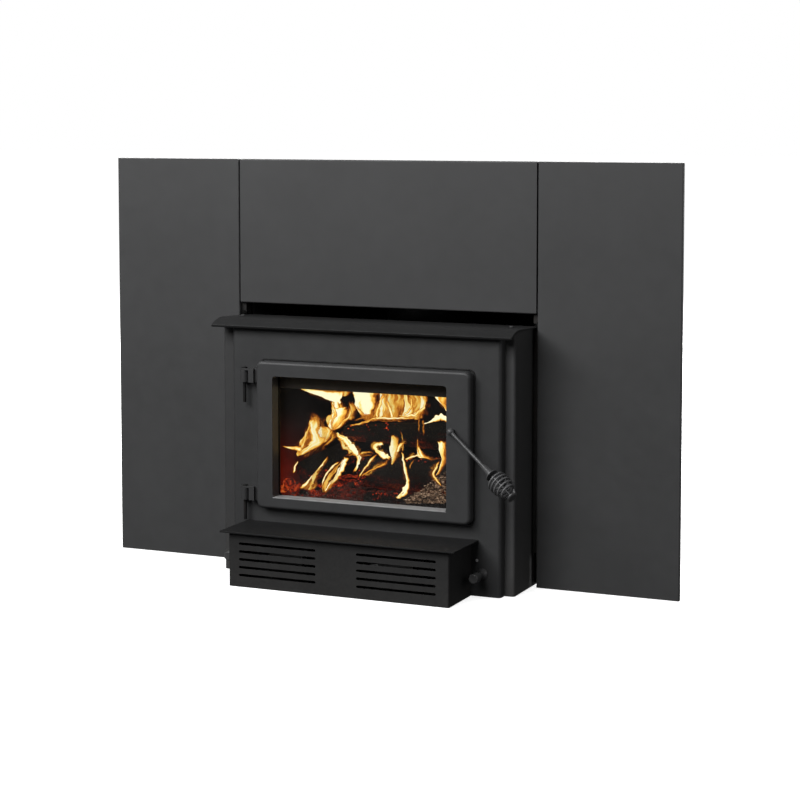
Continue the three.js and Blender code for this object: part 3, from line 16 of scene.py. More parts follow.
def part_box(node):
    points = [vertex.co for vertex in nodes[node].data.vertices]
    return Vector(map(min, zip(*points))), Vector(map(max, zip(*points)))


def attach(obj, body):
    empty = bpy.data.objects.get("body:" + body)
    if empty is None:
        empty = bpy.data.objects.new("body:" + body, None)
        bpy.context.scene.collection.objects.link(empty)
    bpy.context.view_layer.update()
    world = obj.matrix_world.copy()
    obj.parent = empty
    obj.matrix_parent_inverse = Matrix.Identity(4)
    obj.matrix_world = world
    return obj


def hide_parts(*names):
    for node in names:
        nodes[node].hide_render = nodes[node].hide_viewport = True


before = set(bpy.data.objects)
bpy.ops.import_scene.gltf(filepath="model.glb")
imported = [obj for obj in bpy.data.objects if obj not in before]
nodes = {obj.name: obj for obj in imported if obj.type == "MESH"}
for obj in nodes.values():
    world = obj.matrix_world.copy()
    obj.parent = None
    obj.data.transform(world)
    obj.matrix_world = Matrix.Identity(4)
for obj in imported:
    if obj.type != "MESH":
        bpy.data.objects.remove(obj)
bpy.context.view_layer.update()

scene = bpy.context.scene
scene.view_settings.view_transform = "Standard"
scene.view_settings.look = "None"
UP = Vector((0, 0, 1))
SIDES = ((-1, "left"), (1, "right"))

# ------------------------------------------------------------------ camera

CAMERA_AT = Vector((1.4953, -3.3426, 0.8244))
CAMERA_YAW = math.radians(23.644)
CAMERA_PITCH = math.radians(-4.534)
LENS = 92.0
SENSOR = 36.0
SHIFT_Y = -0.15
IMAGE = 800

camera = bpy.data.objects.new("camera", bpy.data.cameras.new("camera"))
camera.location = CAMERA_AT
camera.rotation_euler = (math.radians(90) + CAMERA_PITCH, 0, CAMERA_YAW)
camera.data.lens = LENS
camera.data.sensor_width = SENSOR
camera.data.shift_y = SHIFT_Y
camera.data.clip_start = 0.05
camera.data.clip_end = 100
scene.collection.objects.link(camera)
scene.camera = camera


def seen(px, py, y):
    """The point at depth y that the photograph shows at a pixel."""
    across = (px - IMAGE / 2) / IMAGE * SENSOR / LENS
    upward = ((IMAGE / 2 - py) / IMAGE + SHIFT_Y) * SENSOR / LENS
    ray = camera.rotation_euler.to_matrix() @ Vector((across, upward, -1))
    return CAMERA_AT + ray * ((y - CAMERA_AT.y) / ray.y)


# ------------------------------------------------------------------ mesh helpers


def linked(name, mesh, material):
    """A new object with one material, in the scene."""
    mesh.materials.append(material)
    obj = bpy.data.objects.new(name, mesh)
    scene.collection.objects.link(obj)
    return obj


def add_uvs(mesh, name, uvs):
    """Gives a mesh a UV layer from one pair per point."""
    layer = mesh.uv_layers.new(name=name)
    for loop in mesh.loops:
        layer.data[loop.index].uv = uvs[loop.vertex_index]


def piece(name, shape, body, material, smooth=True, uvs=None):
    """A new object from (points, faces), riding on a body."""
    verts, faces = shape
    mesh = bpy.data.meshes.new(name)
    mesh.from_pydata([tuple(v) for v in verts], [], faces)
    mesh.validate()
    mesh.update()
    if uvs is not None:
        add_uvs(mesh, "UVMap", uvs)
    obj = linked(name, mesh, material)
    for polygon in mesh.polygons:
        polygon.use_smooth = smooth
    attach(obj, body)
    return obj


def on_circle(radius, k, sides, height=0.0):
    """The k-th of some points evenly round the Z axis."""
    angle = 2 * math.pi * k / sides
    return Vector((radius * math.cos(angle), radius * math.sin(angle), height))


def grid_faces(rows, width, ring=False, loop=False):
    """Quads between rows of points: ring closes each row, loop joins the last row to the first."""
    faces = []
    for i in range(rows if loop else rows - 1):
        here, there = i * width, (i + 1) % rows * width
        for k in range(width if ring else width - 1):
            n = (k + 1) % width
            faces.append([here + k, here + n, there + n, there + k])
    return faces


def lathe_points(profile, sides):
    """A profile of (radius, height) turned about +Z, closed where the radius is 0."""
    verts, faces, rings = [], [], []
    for radius, height in profile:
        count = 1 if radius <= 1e-9 else sides
        rings.append([len(verts) + k % count for k in range(sides)])
        verts.extend(on_circle(radius, k, sides, height) for k in range(count))
    for low, high in zip(rings, rings[1:]):
        for k in range(sides):
            n = (k + 1) % sides
            corners = [low[k], low[n], high[n], high[k]]
            face = [c for i, c in enumerate(corners) if c not in corners[:i]]
            if len(face) > 2:
                faces.append(face)
    return verts, faces


def moved(shape, at, along=UP, spin=0.0):
    """A shape made about +Z, turned towards a direction and moved to a place."""
    turn = UP.rotation_difference(Vector(along).normalized()).to_matrix()
    turn = turn @ Matrix.Rotation(spin, 3, "Z")
    return [turn @ v + Vector(at) for v in shape[0]], shape[1]


def merge(parts):
    """Several (points, faces) as one."""
    verts, faces = [], []
    for more_verts, more_faces in parts:
        start = len(verts)
        verts.extend(more_verts)
        faces.extend([[start + i for i in face] for face in more_faces])
    return verts, faces


def tube_points(path, radius, sides=12, closed=False, squeeze=1.0):
    """A tube along points: radius is a number or one for each point."""
    verts = []
    count = len(path)
    side = Vector((1, 0, 0)) if abs((path[1] - path[0]).normalized().z) > 0.9 else UP
    for i, point in enumerate(path):
        before = path[(i - 1) % count] if closed else path[max(0, i - 1)]
        after = path[(i + 1) % count] if closed else path[min(count - 1, i + 1)]
        along = (after - before).normalized()
        side = (side - along * side.dot(along)).normalized()
        other = along.cross(side)
        r = radius[i] if hasattr(radius, "__len__") else radius
        for k in range(sides):
            x, y, _ = on_circle(r, k, sides)
            verts.append(point + side * x + other * (squeeze * y))
    faces = grid_faces(count, sides, ring=True, loop=closed)
    if not closed:
        faces.append(list(range(sides))[::-1])
        faces.append([(count - 1) * sides + k for k in range(sides)])
    return verts, faces


def lump_points(centre, size, seed, stretch=(1, 1, 1), subdivisions=2):
    """One rough lump: a small sphere pushed about by noise."""
    ball = bmesh.new()
    bmesh.ops.create_icosphere(ball, subdivisions=subdivisions, radius=1)
    spin = Matrix.Rotation(seed * 1.7, 3, "Z") @ Matrix.Rotation(seed * 0.9, 3, "X")
    verts = []
    for v in ball.verts:
        broad = noise.noise(v.co * 1.3 + Vector((seed, 0, 0)))
        fine = noise.noise(v.co * 4 + Vector((0, seed, 0)))
        point = v.co * (1 + 0.42 * broad + 0.16 * fine)
        verts.append(centre + spin @ (point * Vector(stretch)) * size)
    faces = [[v.index for v in f.verts] for f in ball.faces]
    ball.free()
    return verts, faces


def rounded_loop(low, high, radius, y, step=0.004):
    """Points round a rectangle with round corners in the plane of the door; corners are (x, z)."""
    corners = [(high[0] - radius, high[1] - radius, 0), (low[0] + radius, high[1] - radius, 90),
               (low[0] + radius, low[1] + radius, 180), (high[0] - radius, low[1] + radius, 270)]
    path = []
    for cx, cz, begin in corners:
        for k in range(7):
            angle = math.radians(begin + 15 * k)
            path.append(Vector((cx + radius * math.cos(angle), y, cz + radius * math.sin(angle))))
    full = []
    for a, b in zip(path, path[1:] + path[:1]):
        count = max(1, round((b - a).length / step))
        full.extend(a.lerp(b, i / count) for i in range(count))
    return full


def smooth_group(angle):
    """A node group that shades smooth across edges flatter than an angle."""
    name = f"smooth_{angle}"
    if name in bpy.data.node_groups:
        return bpy.data.node_groups[name]
    group = bpy.data.node_groups.new(name, "GeometryNodeTree")
    for way in ("INPUT", "OUTPUT"):
        group.interface.new_socket("Geometry", in_out=way, socket_type="NodeSocketGeometry")
    kinds = ("NodeGroupInput", "GeometryNodeSetShadeSmooth", "GeometryNodeSetShadeSmooth", "NodeGroupOutput",
             "GeometryNodeInputMeshEdgeAngle", "FunctionNodeCompare")
    start, faces, edges, end, edge, compare = (group.nodes.new(kind) for kind in kinds)
    edges.domain = "EDGE"
    edges.inputs["Shade Smooth"].default_value = False
    compare.data_type = "FLOAT"
    compare.operation = "GREATER_THAN"
    compare.inputs[1].default_value = math.radians(angle)
    group.links.new(edge.outputs["Unsigned Angle"], compare.inputs[0])
    group.links.new(start.outputs[0], faces.inputs["Geometry"])
    group.links.new(faces.outputs[0], edges.inputs["Geometry"])
    group.links.new(compare.outputs[0], edges.inputs["Selection"])
    group.links.new(edges.outputs[0], end.inputs[0])
    return group


def modifier(obj, name, kind, **settings):
    """Adds a modifier with its settings."""
    added = obj.modifiers.new(name, kind)
    for key, value in settings.items():
        setattr(added, key, value)


def refine(obj, bevel=0.0, smooth=35):
    """Softens an object's edges and shades its curves smooth, by modifiers alone."""
    modifier(obj, "weld", "WELD", merge_threshold=1e-6)
    if bevel:
        modifier(obj, "flat", "DECIMATE", decimate_type="DISSOLVE", angle_limit=math.radians(0.5))
        modifier(obj, "bevel", "BEVEL", width=bevel, segments=2, limit_method="ANGLE",
                 angle_limit=math.radians(40), use_clamp_overlap=True, miter_outer="MITER_ARC")
    modifier(obj, "smooth", "NODES", node_group=smooth_group(smooth))
    if bevel:
        modifier(obj, "flats", "WEIGHTED_NORMAL", keep_sharp=True, weight=100)


# ------------------------------------------------------------------ material helper


def shade(colour, factor, more=0.0):
    """A colour made darker or lighter."""
    return [min(1, c * factor + more) for c in colour]


class Finish:
    """A material being built from nodes, with short names for the ones it needs."""

    def __init__(self, name, roughness=0.5, metallic=0.0, specular=0.5, coordinates="Object"):
        self.material = bpy.data.materials.new(name)
        self.material.use_nodes = True
        self.tree = self.material.node_tree
        self.shader = self.tree.nodes["Principled BSDF"]
        self.base = (0.0, 0.0, 0.0)
        self.set("Roughness", roughness)
        self.set("Metallic", metallic)
        self.set("Specular IOR Level", specular)
        self.place = self.add("ShaderNodeTexCoord").outputs[coordinates]

    def add(self, kind, inputs=(), **settings):
        """A new node with its settings, its inputs given by name or number."""
        node = self.tree.nodes.new(kind)
        for key, value in settings.items():
            setattr(node, key, value)
        for key, value in dict(inputs).items():
            self.link(value, node.inputs[key])
        return node

    def link(self, value, socket):
        if isinstance(value, bpy.types.NodeSocket):
            self.tree.links.new(value, socket)
        elif hasattr(value, "__len__"):
            socket.default_value = (*value, 1.0)[: len(socket.default_value)]
        else:
            socket.default_value = value

    def set(self, name, value):
        self.link(value, self.shader.inputs[name])

    def over(self, share, colour):
        """Lays a colour over the base colour, where share is above 0."""
        self.base = self.mix(share, self.base, colour)

    def glow(self, colour, strength):
        self.set("Emission Color", colour)
        self.set("Emission Strength", strength)

    def rough(self, value, low, high):
        self.set("Roughness", self.spread(value, 0.3, 0.7, low, high))

    def done(self):
        self.set("Base Color", self.base)
        return self.material

    def stretched(self, scale, source=None):
        return self.add("ShaderNodeMapping", {"Vector": source or self.place, "Scale": scale}).outputs[0]

    def noise(self, scale, detail=3.0, roughness=0.5, distortion=0.0, vector=None):
        inputs = {"Vector": vector or self.place, "Scale": scale, "Detail": detail,
                  "Roughness": roughness, "Distortion": distortion}
        return self.add("ShaderNodeTexNoise", inputs).outputs["Fac"]

    def cells(self, scale, feature="F1", vector=None):
        inputs = {"Vector": vector or self.place, "Scale": scale}
        return self.add("ShaderNodeTexVoronoi", inputs, feature=feature).outputs["Distance"]

    def ramp(self, value, stops):
        node = self.add("ShaderNodeValToRGB", {"Fac": value})
        elements = node.color_ramp.elements
        while len(elements) > 1:
            elements.remove(elements[-1])
        for i, (position, colour) in enumerate(stops):
            element = elements[0] if i == 0 else elements.new(position)
            element.position = position
            element.color = (*colour, 1.0)
        return node.outputs["Color"]

    def tones(self, value, colour, dark, light, low=0.3, high=0.7):
        """Makes the base colour vary between a darker and a lighter tone."""
        self.base = self.ramp(value, [(low, shade(colour, dark)), (high, shade(colour, light))])

    def mix(self, share, a, b, mode="MIX"):
        node = self.add("ShaderNodeMix", {"Factor": share, 6: a, 7: b}, data_type="RGBA", blend_type=mode)
        return node.outputs[2]

    def calc(self, operation, a, b=0.0, clamp=False):
        return self.add("ShaderNodeMath", {0: a, 1: b}, operation=operation, use_clamp=clamp).outputs[0]

    def times(self, first, *others, clamp=False):
        for k, other in enumerate(others):
            first = self.calc("MULTIPLY", first, other, clamp and k == len(others) - 1)
        return first

    def plus(self, a, b):
        return self.calc("ADD", a, b)

    def blend(self, a, share, b):
        """Some of a and the rest of b."""
        return self.plus(self.times(a, share), self.times(b, 1 - share))

    def away(self, value, middle):
        """How far a value is from a middle."""
        return self.calc("ABSOLUTE", self.calc("SUBTRACT", value, middle))

    def spread(self, value, low, high, to_low=0.0, to_high=1.0, smooth=False):
        """A value's place between two others, from to_low to to_high."""
        inputs = {"Value": value, "From Min": low, "From Max": high, "To Min": to_low, "To Max": to_high}
        kind = "SMOOTHSTEP" if smooth else "LINEAR"
        return self.add("ShaderNodeMapRange", inputs, interpolation_type=kind).outputs[0]

    def axis(self, letter, source=None):
        return self.add("ShaderNodeSeparateXYZ", {0: source or self.place}).outputs[letter]

    def edges(self, radius):
        """1 at sharp outer and inner edges, 0 on the flats."""
        bevel = self.add("ShaderNodeBevel", {"Radius": radius}, samples=4).outputs[0]
        flat = self.add("ShaderNodeNewGeometry").outputs["Normal"]
        dot = self.add("ShaderNodeVectorMath", {0: bevel, 1: flat}, operation="DOT_PRODUCT")
        return self.spread(dot.outputs["Value"], 0.995, 0.85)

    def bump(self, height, strength, distance):
        """Adds to the relief that the shader has so far."""
        inputs = {"Strength": strength, "Distance": distance, "Height": height}
        node = self.add("ShaderNodeBump", inputs)
        before = self.shader.inputs["Normal"].links
        if before:
            self.link(before[0].from_socket, node.inputs["Normal"])
        self.set("Normal", node.outputs[0])


# ------------------------------------------------------------------ materials


def stove_paint(name, colour, rough=(0.44, 0.56), grain=0.18, mottle=0.10, wear_and_highlight=0.35, dust=0.0, specular=0.4):
    """Baked satin stove paint on steel: fine orange peel, soft mottling, edges made lighter: worn paint, and on the
    casing a painted highlight.
    """
    paint = Finish(name, specular=specular)
    cloud, patch, speck = paint.noise(5.5, 3, 0.55), paint.noise(38, 4, 0.6, 0.3), paint.noise(900, 2, 0.6)
    paint.tones(paint.blend(cloud, 0.65, patch), colour, 1 - mottle, 1 + mottle, 0.35, 0.65)
    paint.over(paint.times(paint.spread(speck, 0.62, 0.78), 0.25), shade(colour, 1.8))
    # Lighter edges: worn paint, and where raised strongly a painted highlight along the corners.
    worn = paint.times(paint.edges(0.0016), paint.spread(patch, 0.35, 0.7, 0.3, 1.0))
    paint.over(paint.times(worn, wear_and_highlight), shade(colour, 2.6, 0.02))
    if dust:
        fall = paint.spread(paint.axis("Z"), 0.14, 0.0, smooth=True)
        paint.over(paint.times(paint.noise(160, 5, 0.65), fall, dust), (0.20, 0.19, 0.175))
    paint.rough(paint.blend(patch, 0.6, speck), *rough)
    paint.bump(paint.noise(620, 3, 0.6), grain, 0.00025)
    paint.bump(paint.noise(14, 2, 0.5), 0.05, 0.002)
    return paint.done()


def cast_paint(name, colour, grain=0.45):
    """Painted casting: sandy grain under the paint and rubbed edges."""
    paint = Finish(name, specular=0.4)
    sand, patch = paint.noise(420, 5, 0.65), paint.noise(30, 4, 0.6, 0.2)
    paint.tones(paint.blend(patch, 0.5, paint.noise(7, 2, 0.5)), colour, 0.88, 1.14, 0.35, 0.66)
    paint.over(paint.times(paint.spread(sand, 0.58, 0.75), 0.25), shade(colour, 1.7))
    worn = paint.times(paint.edges(0.0018), paint.spread(patch, 0.3, 0.7, 0.35, 1.0))
    paint.over(paint.times(worn, 0.4), shade(colour, 2.6, 0.015))
    paint.rough(sand, 0.42, 0.58)
    paint.bump(sand, grain, 0.0003)
    paint.bump(paint.spread(paint.cells(260), 0.0, 0.25), 0.08, 0.0003)
    return paint.done()


def scorched_steel(name, colour=(0.013, 0.0125, 0.012), rough=(0.5, 0.78), metallic=0.3):
    """Heat-blackened steel: scale, faint brown bloom and scratches."""
    steel = Finish(name, metallic=metallic, specular=0.4)
    scale = steel.noise(60, 6, 0.65, 0.4)
    steel.tones(scale, colour, 0.6, 1.8)
    steel.over(steel.spread(steel.noise(9, 3, 0.6), 0.5, 0.8, 0, 0.5), (0.045, 0.028, 0.018))
    steel.over(steel.times(steel.edges(0.001), 0.35), (0.10, 0.095, 0.09))
    steel.rough(scale, *rough)
    steel.bump(steel.noise(500, 3, 0.6), 0.25, 0.0002)
    steel.bump(steel.noise(40, 2, 0.5, 0, steel.stretched((1, 1, 26))), 0.08, 0.0002)
    return steel.done()


def brushed_steel(name, colour, rough=(0.28, 0.46), direction=(1, 1, 30), metallic=1.0):
    """Turned and brushed steel with oil-dark patches."""
    steel = Finish(name, metallic=metallic)
    lines, haze = steel.noise(90, 3, 0.6, 0, steel.stretched(direction)), steel.noise(24, 4, 0.6)
    steel.tones(lines, colour, 0.8, 1.15)
    steel.over(steel.spread(haze, 0.45, 0.75, 0, 0.45), shade(colour, 0.45))
    steel.over(steel.times(steel.edges(0.0008), 0.5), shade(colour, 1.6))
    steel.rough(haze, *rough)
    steel.bump(lines, 0.12, 0.00015)
    steel.bump(steel.noise(700, 2, 0.5), 0.1, 0.0001)
    return steel.done()


def sooty_brick(name, glow=0.0):
    """Fireclay slab, sooted dark, with pores and a few paler patches; it may have a painted glow low down in front,
    standing in for the fire's light on it.
    """
    clay = Finish(name, specular=0.2)
    grit, cloud = clay.noise(330, 6, 0.7), clay.noise(11, 4, 0.6, 0.3)
    clay.base = clay.ramp(grit, [(0.3, (0.004, 0.0035, 0.003)), (0.7, (0.013, 0.011, 0.0095))])
    clay.over(clay.spread(cloud, 0.55, 0.8, 0, 0.5), (0.034, 0.027, 0.020))
    clay.rough(grit, 0.85, 1.0)
    clay.bump(grit, 0.5, 0.0008)
    clay.bump(clay.spread(clay.cells(170), 0.0, 0.3), 0.3, 0.0008)
    # Painted firelight: a red glow low down at the front of the brick.
    if glow:
        low = clay.spread(clay.axis("Z"), 0.30, 0.16, smooth=True)
        front = clay.spread(clay.axis("Y"), 0.12, -0.02, smooth=True)
        hot = clay.times(low, front, clay.spread(cloud, 0.25, 0.75, 0.35, 1.0))
        clay.glow(clay.ramp(hot, [(0.0, (0, 0, 0)), (0.5, (0.10, 0.004, 0.001)), (1.0, (0.42, 0.02, 0.004))]), glow)
    return clay.done()


def fibre_board(name):
    """Pressed ceramic fibre board, smoked."""
    board = Finish(name, roughness=0.95, specular=0.2)
    fibre = board.noise(160, 5, 0.7, 1.2, board.stretched((1, 1, 6)))
    board.base = board.ramp(fibre, [(0.3, (0.10, 0.09, 0.075)), (0.7, (0.20, 0.185, 0.16))])
    board.over(board.spread(board.noise(6, 4, 0.6), 0.35, 0.7, 0.2, 0.9), (0.022, 0.020, 0.018))
    board.bump(fibre, 0.5, 0.0008)
    return board.done()


def pane(name):
    """Clear ceramic glass with a trace of smoke, thicker along its lower edge."""
    glass = Finish(name)
    smoke = glass.noise(14, 5, 0.65, 0.5)
    low = glass.spread(glass.axis("Z"), 0.175, 0.142, 0.0, 0.5, smooth=True)
    tint = glass.mix(glass.times(glass.spread(smoke, 0.35, 0.75), low), (0.90, 0.885, 0.865), (0.45, 0.39, 0.33))
    clear = glass.add("ShaderNodeBsdfTransparent", {"Color": tint})
    film = glass.add("ShaderNodeBsdfDiffuse", {"Color": (0.80, 0.78, 0.78)})
    shine = glass.add("ShaderNodeBsdfGlossy", {"Roughness": 0.03, "Color": (0.9, 0.9, 0.9)})
    fresnel = glass.add("ShaderNodeFresnel", {"IOR": 1.22}).outputs[0]
    body = clear.outputs[0]
    for share, layer in ((glass.spread(smoke, 0.3, 0.7, 0.003, 0.009), film), (fresnel, shine)):
        body = glass.add("ShaderNodeMixShader", {0: share, 1: body, 2: layer.outputs[0]}).outputs[0]
    glass.link(body, glass.tree.nodes["Material Output"].inputs["Surface"])
    glass.tree.nodes.remove(glass.shader)
    return glass.material


def rope_fibre(name):
    """Braided glass-fibre rope: crossing strands and stray fibres. Uses the rope's own UV."""
    rope = Finish(name, roughness=0.9, specular=0.25, coordinates="UV")
    strands = [rope.add("ShaderNodeTexWave", {"Vector": rope.stretched((way, 1, 1)), "Scale": 1.0},
                        wave_type="BANDS", bands_direction="DIAGONAL").outputs["Fac"] for way in (1, -1)]
    plait, fuzz = rope.calc("MAXIMUM", *strands), rope.noise(40, 4, 0.7)
    rope.base = rope.ramp(plait, [(0.2, (0.012, 0.012, 0.012)), (0.8, (0.055, 0.053, 0.050))])
    rope.over(rope.spread(fuzz, 0.55, 0.8, 0, 0.5), (0.11, 0.105, 0.10))
    rope.bump(plait, 0.8, 0.0008)
    rope.bump(fuzz, 0.3, 0.0003)
    return rope.done()


def packing_wool(name):
    """Black mineral-wool packing behind the surround: tangled fibres."""
    wool = Finish(name, roughness=1.0, specular=0.1)
    tangle = wool.noise(240, 6, 0.75, 1.5)
    wool.base = wool.ramp(tangle, [(0.3, (0.002, 0.002, 0.002)), (0.7, (0.008, 0.008, 0.0075))])
    wool.over(wool.spread(wool.noise(40, 3, 0.6), 0.5, 0.8, 0, 0.4), (0.012, 0.0115, 0.011))
    wool.bump(tangle, 0.9, 0.0015)
    return wool.done()


def moulded_plastic(name, colour, rough=(0.36, 0.5)):
    """Black moulded phenolic: fine spark texture, handled shine."""
    plastic = Finish(name)
    hand = plastic.noise(60, 3, 0.5)
    plastic.tones(hand, colour, 0.8, 1.3)
    plastic.over(plastic.times(plastic.edges(0.0008), 0.3), shade(colour, 3))
    plastic.rough(hand, *rough)
    plastic.bump(plastic.noise(1100, 3, 0.6), 0.15, 0.0001)
    return plastic.done()


def charred_wood(name, glow, ash):
    """Burning log: checked charcoal, ash on its upper side, cracks that glow on its lower side."""
    wood = Finish(name, specular=0.3)
    uv = wood.add("ShaderNodeTexCoord").outputs["UV"]
    blocks = wood.cells(9, "DISTANCE_TO_EDGE", wood.stretched((1.0, 2.2, 1), uv))
    small = wood.cells(26, "DISTANCE_TO_EDGE", wood.stretched((1.0, 1.6, 1), uv))
    grain, cloud = wood.noise(30, 5, 0.65, 0.3, wood.stretched((0.35, 4.0, 1), uv)), wood.noise(18, 4, 0.6)
    wood.base = wood.ramp(grain, [
        (0.3, (0.002, 0.0018, 0.0017)), (0.55, (0.0045, 0.0038, 0.0034)), (0.75, (0.010, 0.008, 0.007))])
    height = wood.axis("Z", wood.add("ShaderNodeNewGeometry").outputs["Normal"])
    top, low = wood.spread(height, 0.1, 0.9), wood.spread(height, 0.25, -0.75)
    wood.over(wood.times(top, wood.spread(cloud, 0.45, 0.7), ash), (0.20, 0.185, 0.17))
    wood.rough(grain, 0.75, 0.98)
    crack = wood.calc("MAXIMUM", wood.spread(blocks, 0.05, 0.0), wood.times(wood.spread(small, 0.05, 0.0), 0.5))
    hot = wood.times(crack, low, wood.spread(cloud, 0.42, 0.62), clamp=True)
    wood.glow(wood.ramp(hot, [
        (0.0, (0, 0, 0)), (0.3, (0.35, 0.02, 0.002)), (0.7, (1.0, 0.16, 0.015)), (1.0, (1.0, 0.5, 0.12))]), glow)
    wood.bump(wood.spread(blocks, 0.0, 0.10), 0.7, 0.004)
    wood.bump(wood.spread(small, 0.0, 0.08), 0.4, 0.0015)
    wood.bump(grain, 0.4, 0.0012)
    wood.bump(wood.noise(260, 5, 0.7), 0.35, 0.0005)
    return wood.done()


def ember_coal(name, strength, right):
    """Glowing coals, red-orange under a black and grey crust; right is how much glows at the right."""
    coal = Finish(name, roughness=0.95, specular=0.15)
    crust, heat = coal.noise(120, 6, 0.72, 0.4), coal.noise(26, 4, 0.6, 0.3)
    coal.base = coal.ramp(crust, [
        (0.35, (0.010, 0.007, 0.006)), (0.6, (0.05, 0.035, 0.03)), (0.78, (0.22, 0.20, 0.185))])
    left = coal.spread(coal.axis("X"), -0.055, -0.135, right, 1.0, smooth=True)
    hot = coal.times(coal.spread(heat, 0.40, 0.62), coal.spread(crust, 0.58, 0.42), left, clamp=True)
    coal.glow(coal.ramp(hot, [
        (0.0, (0.0, 0.0, 0.0)), (0.18, (0.14, 0.006, 0.001)), (0.5, (0.62, 0.045, 0.006)),
        (0.8, (0.95, 0.13, 0.02)), (1.0, (1.0, 0.36, 0.08))]), strength)
    coal.bump(crust, 0.8, 0.002)
    coal.bump(coal.spread(coal.cells(210, "DISTANCE_TO_EDGE"), 0, 0.12), 0.4, 0.0008)
    return coal.done()


def ash_flake(name):
    """Cold ash and bark flakes: dark brown to pale grey, each its own tone, with a warm painted glow that stands in
    for firelight on them.
    """
    flake = Finish(name, roughness=0.95, specular=0.15)
    fine = flake.noise(620, 4, 0.7)
    flake.base = flake.ramp(flake.noise(190, 3, 0.7, 0.2), [
        (0.40, (0.012, 0.010, 0.009)), (0.52, (0.10, 0.07, 0.05)),
        (0.62, (0.40, 0.32, 0.25)), (0.74, (0.62, 0.56, 0.50))])
    flake.over(flake.spread(fine, 0.45, 0.7, 0, 0.55), (0.03, 0.025, 0.022))
    # Painted firelight: the flakes glow with their own colour tinted warm.
    flake.glow(flake.mix(1.0, flake.base, (0.85, 0.70, 0.58), "MULTIPLY"), 0.85)
    flake.bump(fine, 0.6, 0.0008)
    return flake.done()


def flame(name, strength, base, lines, edge, root, tip, solid, rim=0.0):
    """A sheet of flame. UV x runs across it and UV y from its root to its tip; Flow is in centimetres.

    base is how hot its body is, lines how bright its threads are, edge how wide its soft border is,
    root and tip how much of its length fades, solid the heat at which it hides what is behind, and
    rim how bright its crisp left edge is."""
    fire = Finish(name, roughness=1.0, specular=0.0, coordinates="UV")
    flow = fire.add("ShaderNodeUVMap", uv_map="Flow").outputs[0]
    slow = fire.calc("SUBTRACT", fire.noise(0.30, 2, 0.5, 0.2, flow), 0.5)
    quick = fire.calc("SUBTRACT", fire.noise(1.1, 2, 0.5, 0.2, flow), 0.5)
    sway = fire.plus(slow, fire.times(quick, 0.35))
    u = fire.plus(fire.axis("X"), fire.times(sway, 1.1 * edge + 0.2))
    v = fire.plus(fire.axis("Y"), fire.times(quick, 0.25))
    if rim:
        right = fire.spread(u, 1.0, 1.0 - 1.5 * edge, smooth=True)
        body = fire.times(fire.spread(u, 0.0, 0.10, smooth=True), right)
    else:
        body = fire.spread(fire.away(fire.times(u, 2.0), 1.0), 1.0, 1.0 - 2.0 * edge, smooth=True)
    ends = fire.times(fire.spread(v, 0.0, root, smooth=True), fire.spread(v, 1.0, 1.0 - tip, smooth=True))
    push = fire.add("ShaderNodeCombineXYZ", {"X": fire.times(sway, 2.4)}).outputs[0]
    drift = fire.add("ShaderNodeVectorMath", {0: fire.stretched((1.0, 0.16, 1), flow), 1: push},
                     operation="ADD").outputs[0]
    bright = fire.spread(fire.away(fire.noise(0.85, 1, 0.4, 0.0, drift), 0.5), 0.11, 0.0, smooth=True)
    faint = fire.spread(fire.away(fire.noise(2.6, 1, 0.4, 0.0, drift), 0.5), 0.07, 0.0, smooth=True)
    bright = fire.plus(bright, fire.times(faint, 0.22))
    patch = fire.spread(fire.noise(0.62, 3, 0.55, 0.3, drift), 0.32, 0.68, smooth=True)
    heat = fire.plus(fire.times(patch, base * 1.15), base * 0.42)
    heat = fire.plus(heat, fire.times(bright, fire.spread(patch, 0.0, 1.0, lines * 0.45, lines)))
    if rim:
        line = fire.spread(fire.away(u, 0.13), 0.12, 0.0, smooth=True)
        heat = fire.plus(heat, fire.times(line, rim))
    heat = fire.times(heat, fire.times(body, ends), clamp=True)
    fire.glow(fire.ramp(heat, [
        (0.0, (0.10, 0.014, 0.001)), (0.15, (0.28, 0.060, 0.004)), (0.30, (0.58, 0.19, 0.015)),
        (0.46, (0.90, 0.47, 0.062)), (0.64, (0.97, 0.74, 0.21)), (0.82, (0.98, 0.90, 0.46)),
        (1.0, (1.0, 0.96, 0.66))]), strength)
    fire.set("Alpha", fire.spread(heat, 0.02, solid, smooth=True))
    fire.material.surface_render_method = "BLENDED"
    return fire.done()


satin = stove_paint("satin_charcoal_paint", (0.0375, 0.038, 0.039))
lid_paint = stove_paint("lid_paint", (0.0185, 0.0187, 0.019), rough=(0.46, 0.58))
shelf_paint = stove_paint("shelf_paint", (0.0125, 0.0126, 0.013), rough=(0.55, 0.66), specular=0.22)
panel_paint = stove_paint("surround_panel_paint", (0.0510, 0.0515, 0.0525), rough=(0.46, 0.58), mottle=0.07)
# The right, back and top casing are painted lighter: painted light. Their strongly lightened edges are a painted
# highlight on the casing's corner.
casing_paint = stove_paint("casing_paint_painted_light", (0.058, 0.058, 0.059), rough=(0.5, 0.62), dust=0.2, wear_and_highlight=1.0)
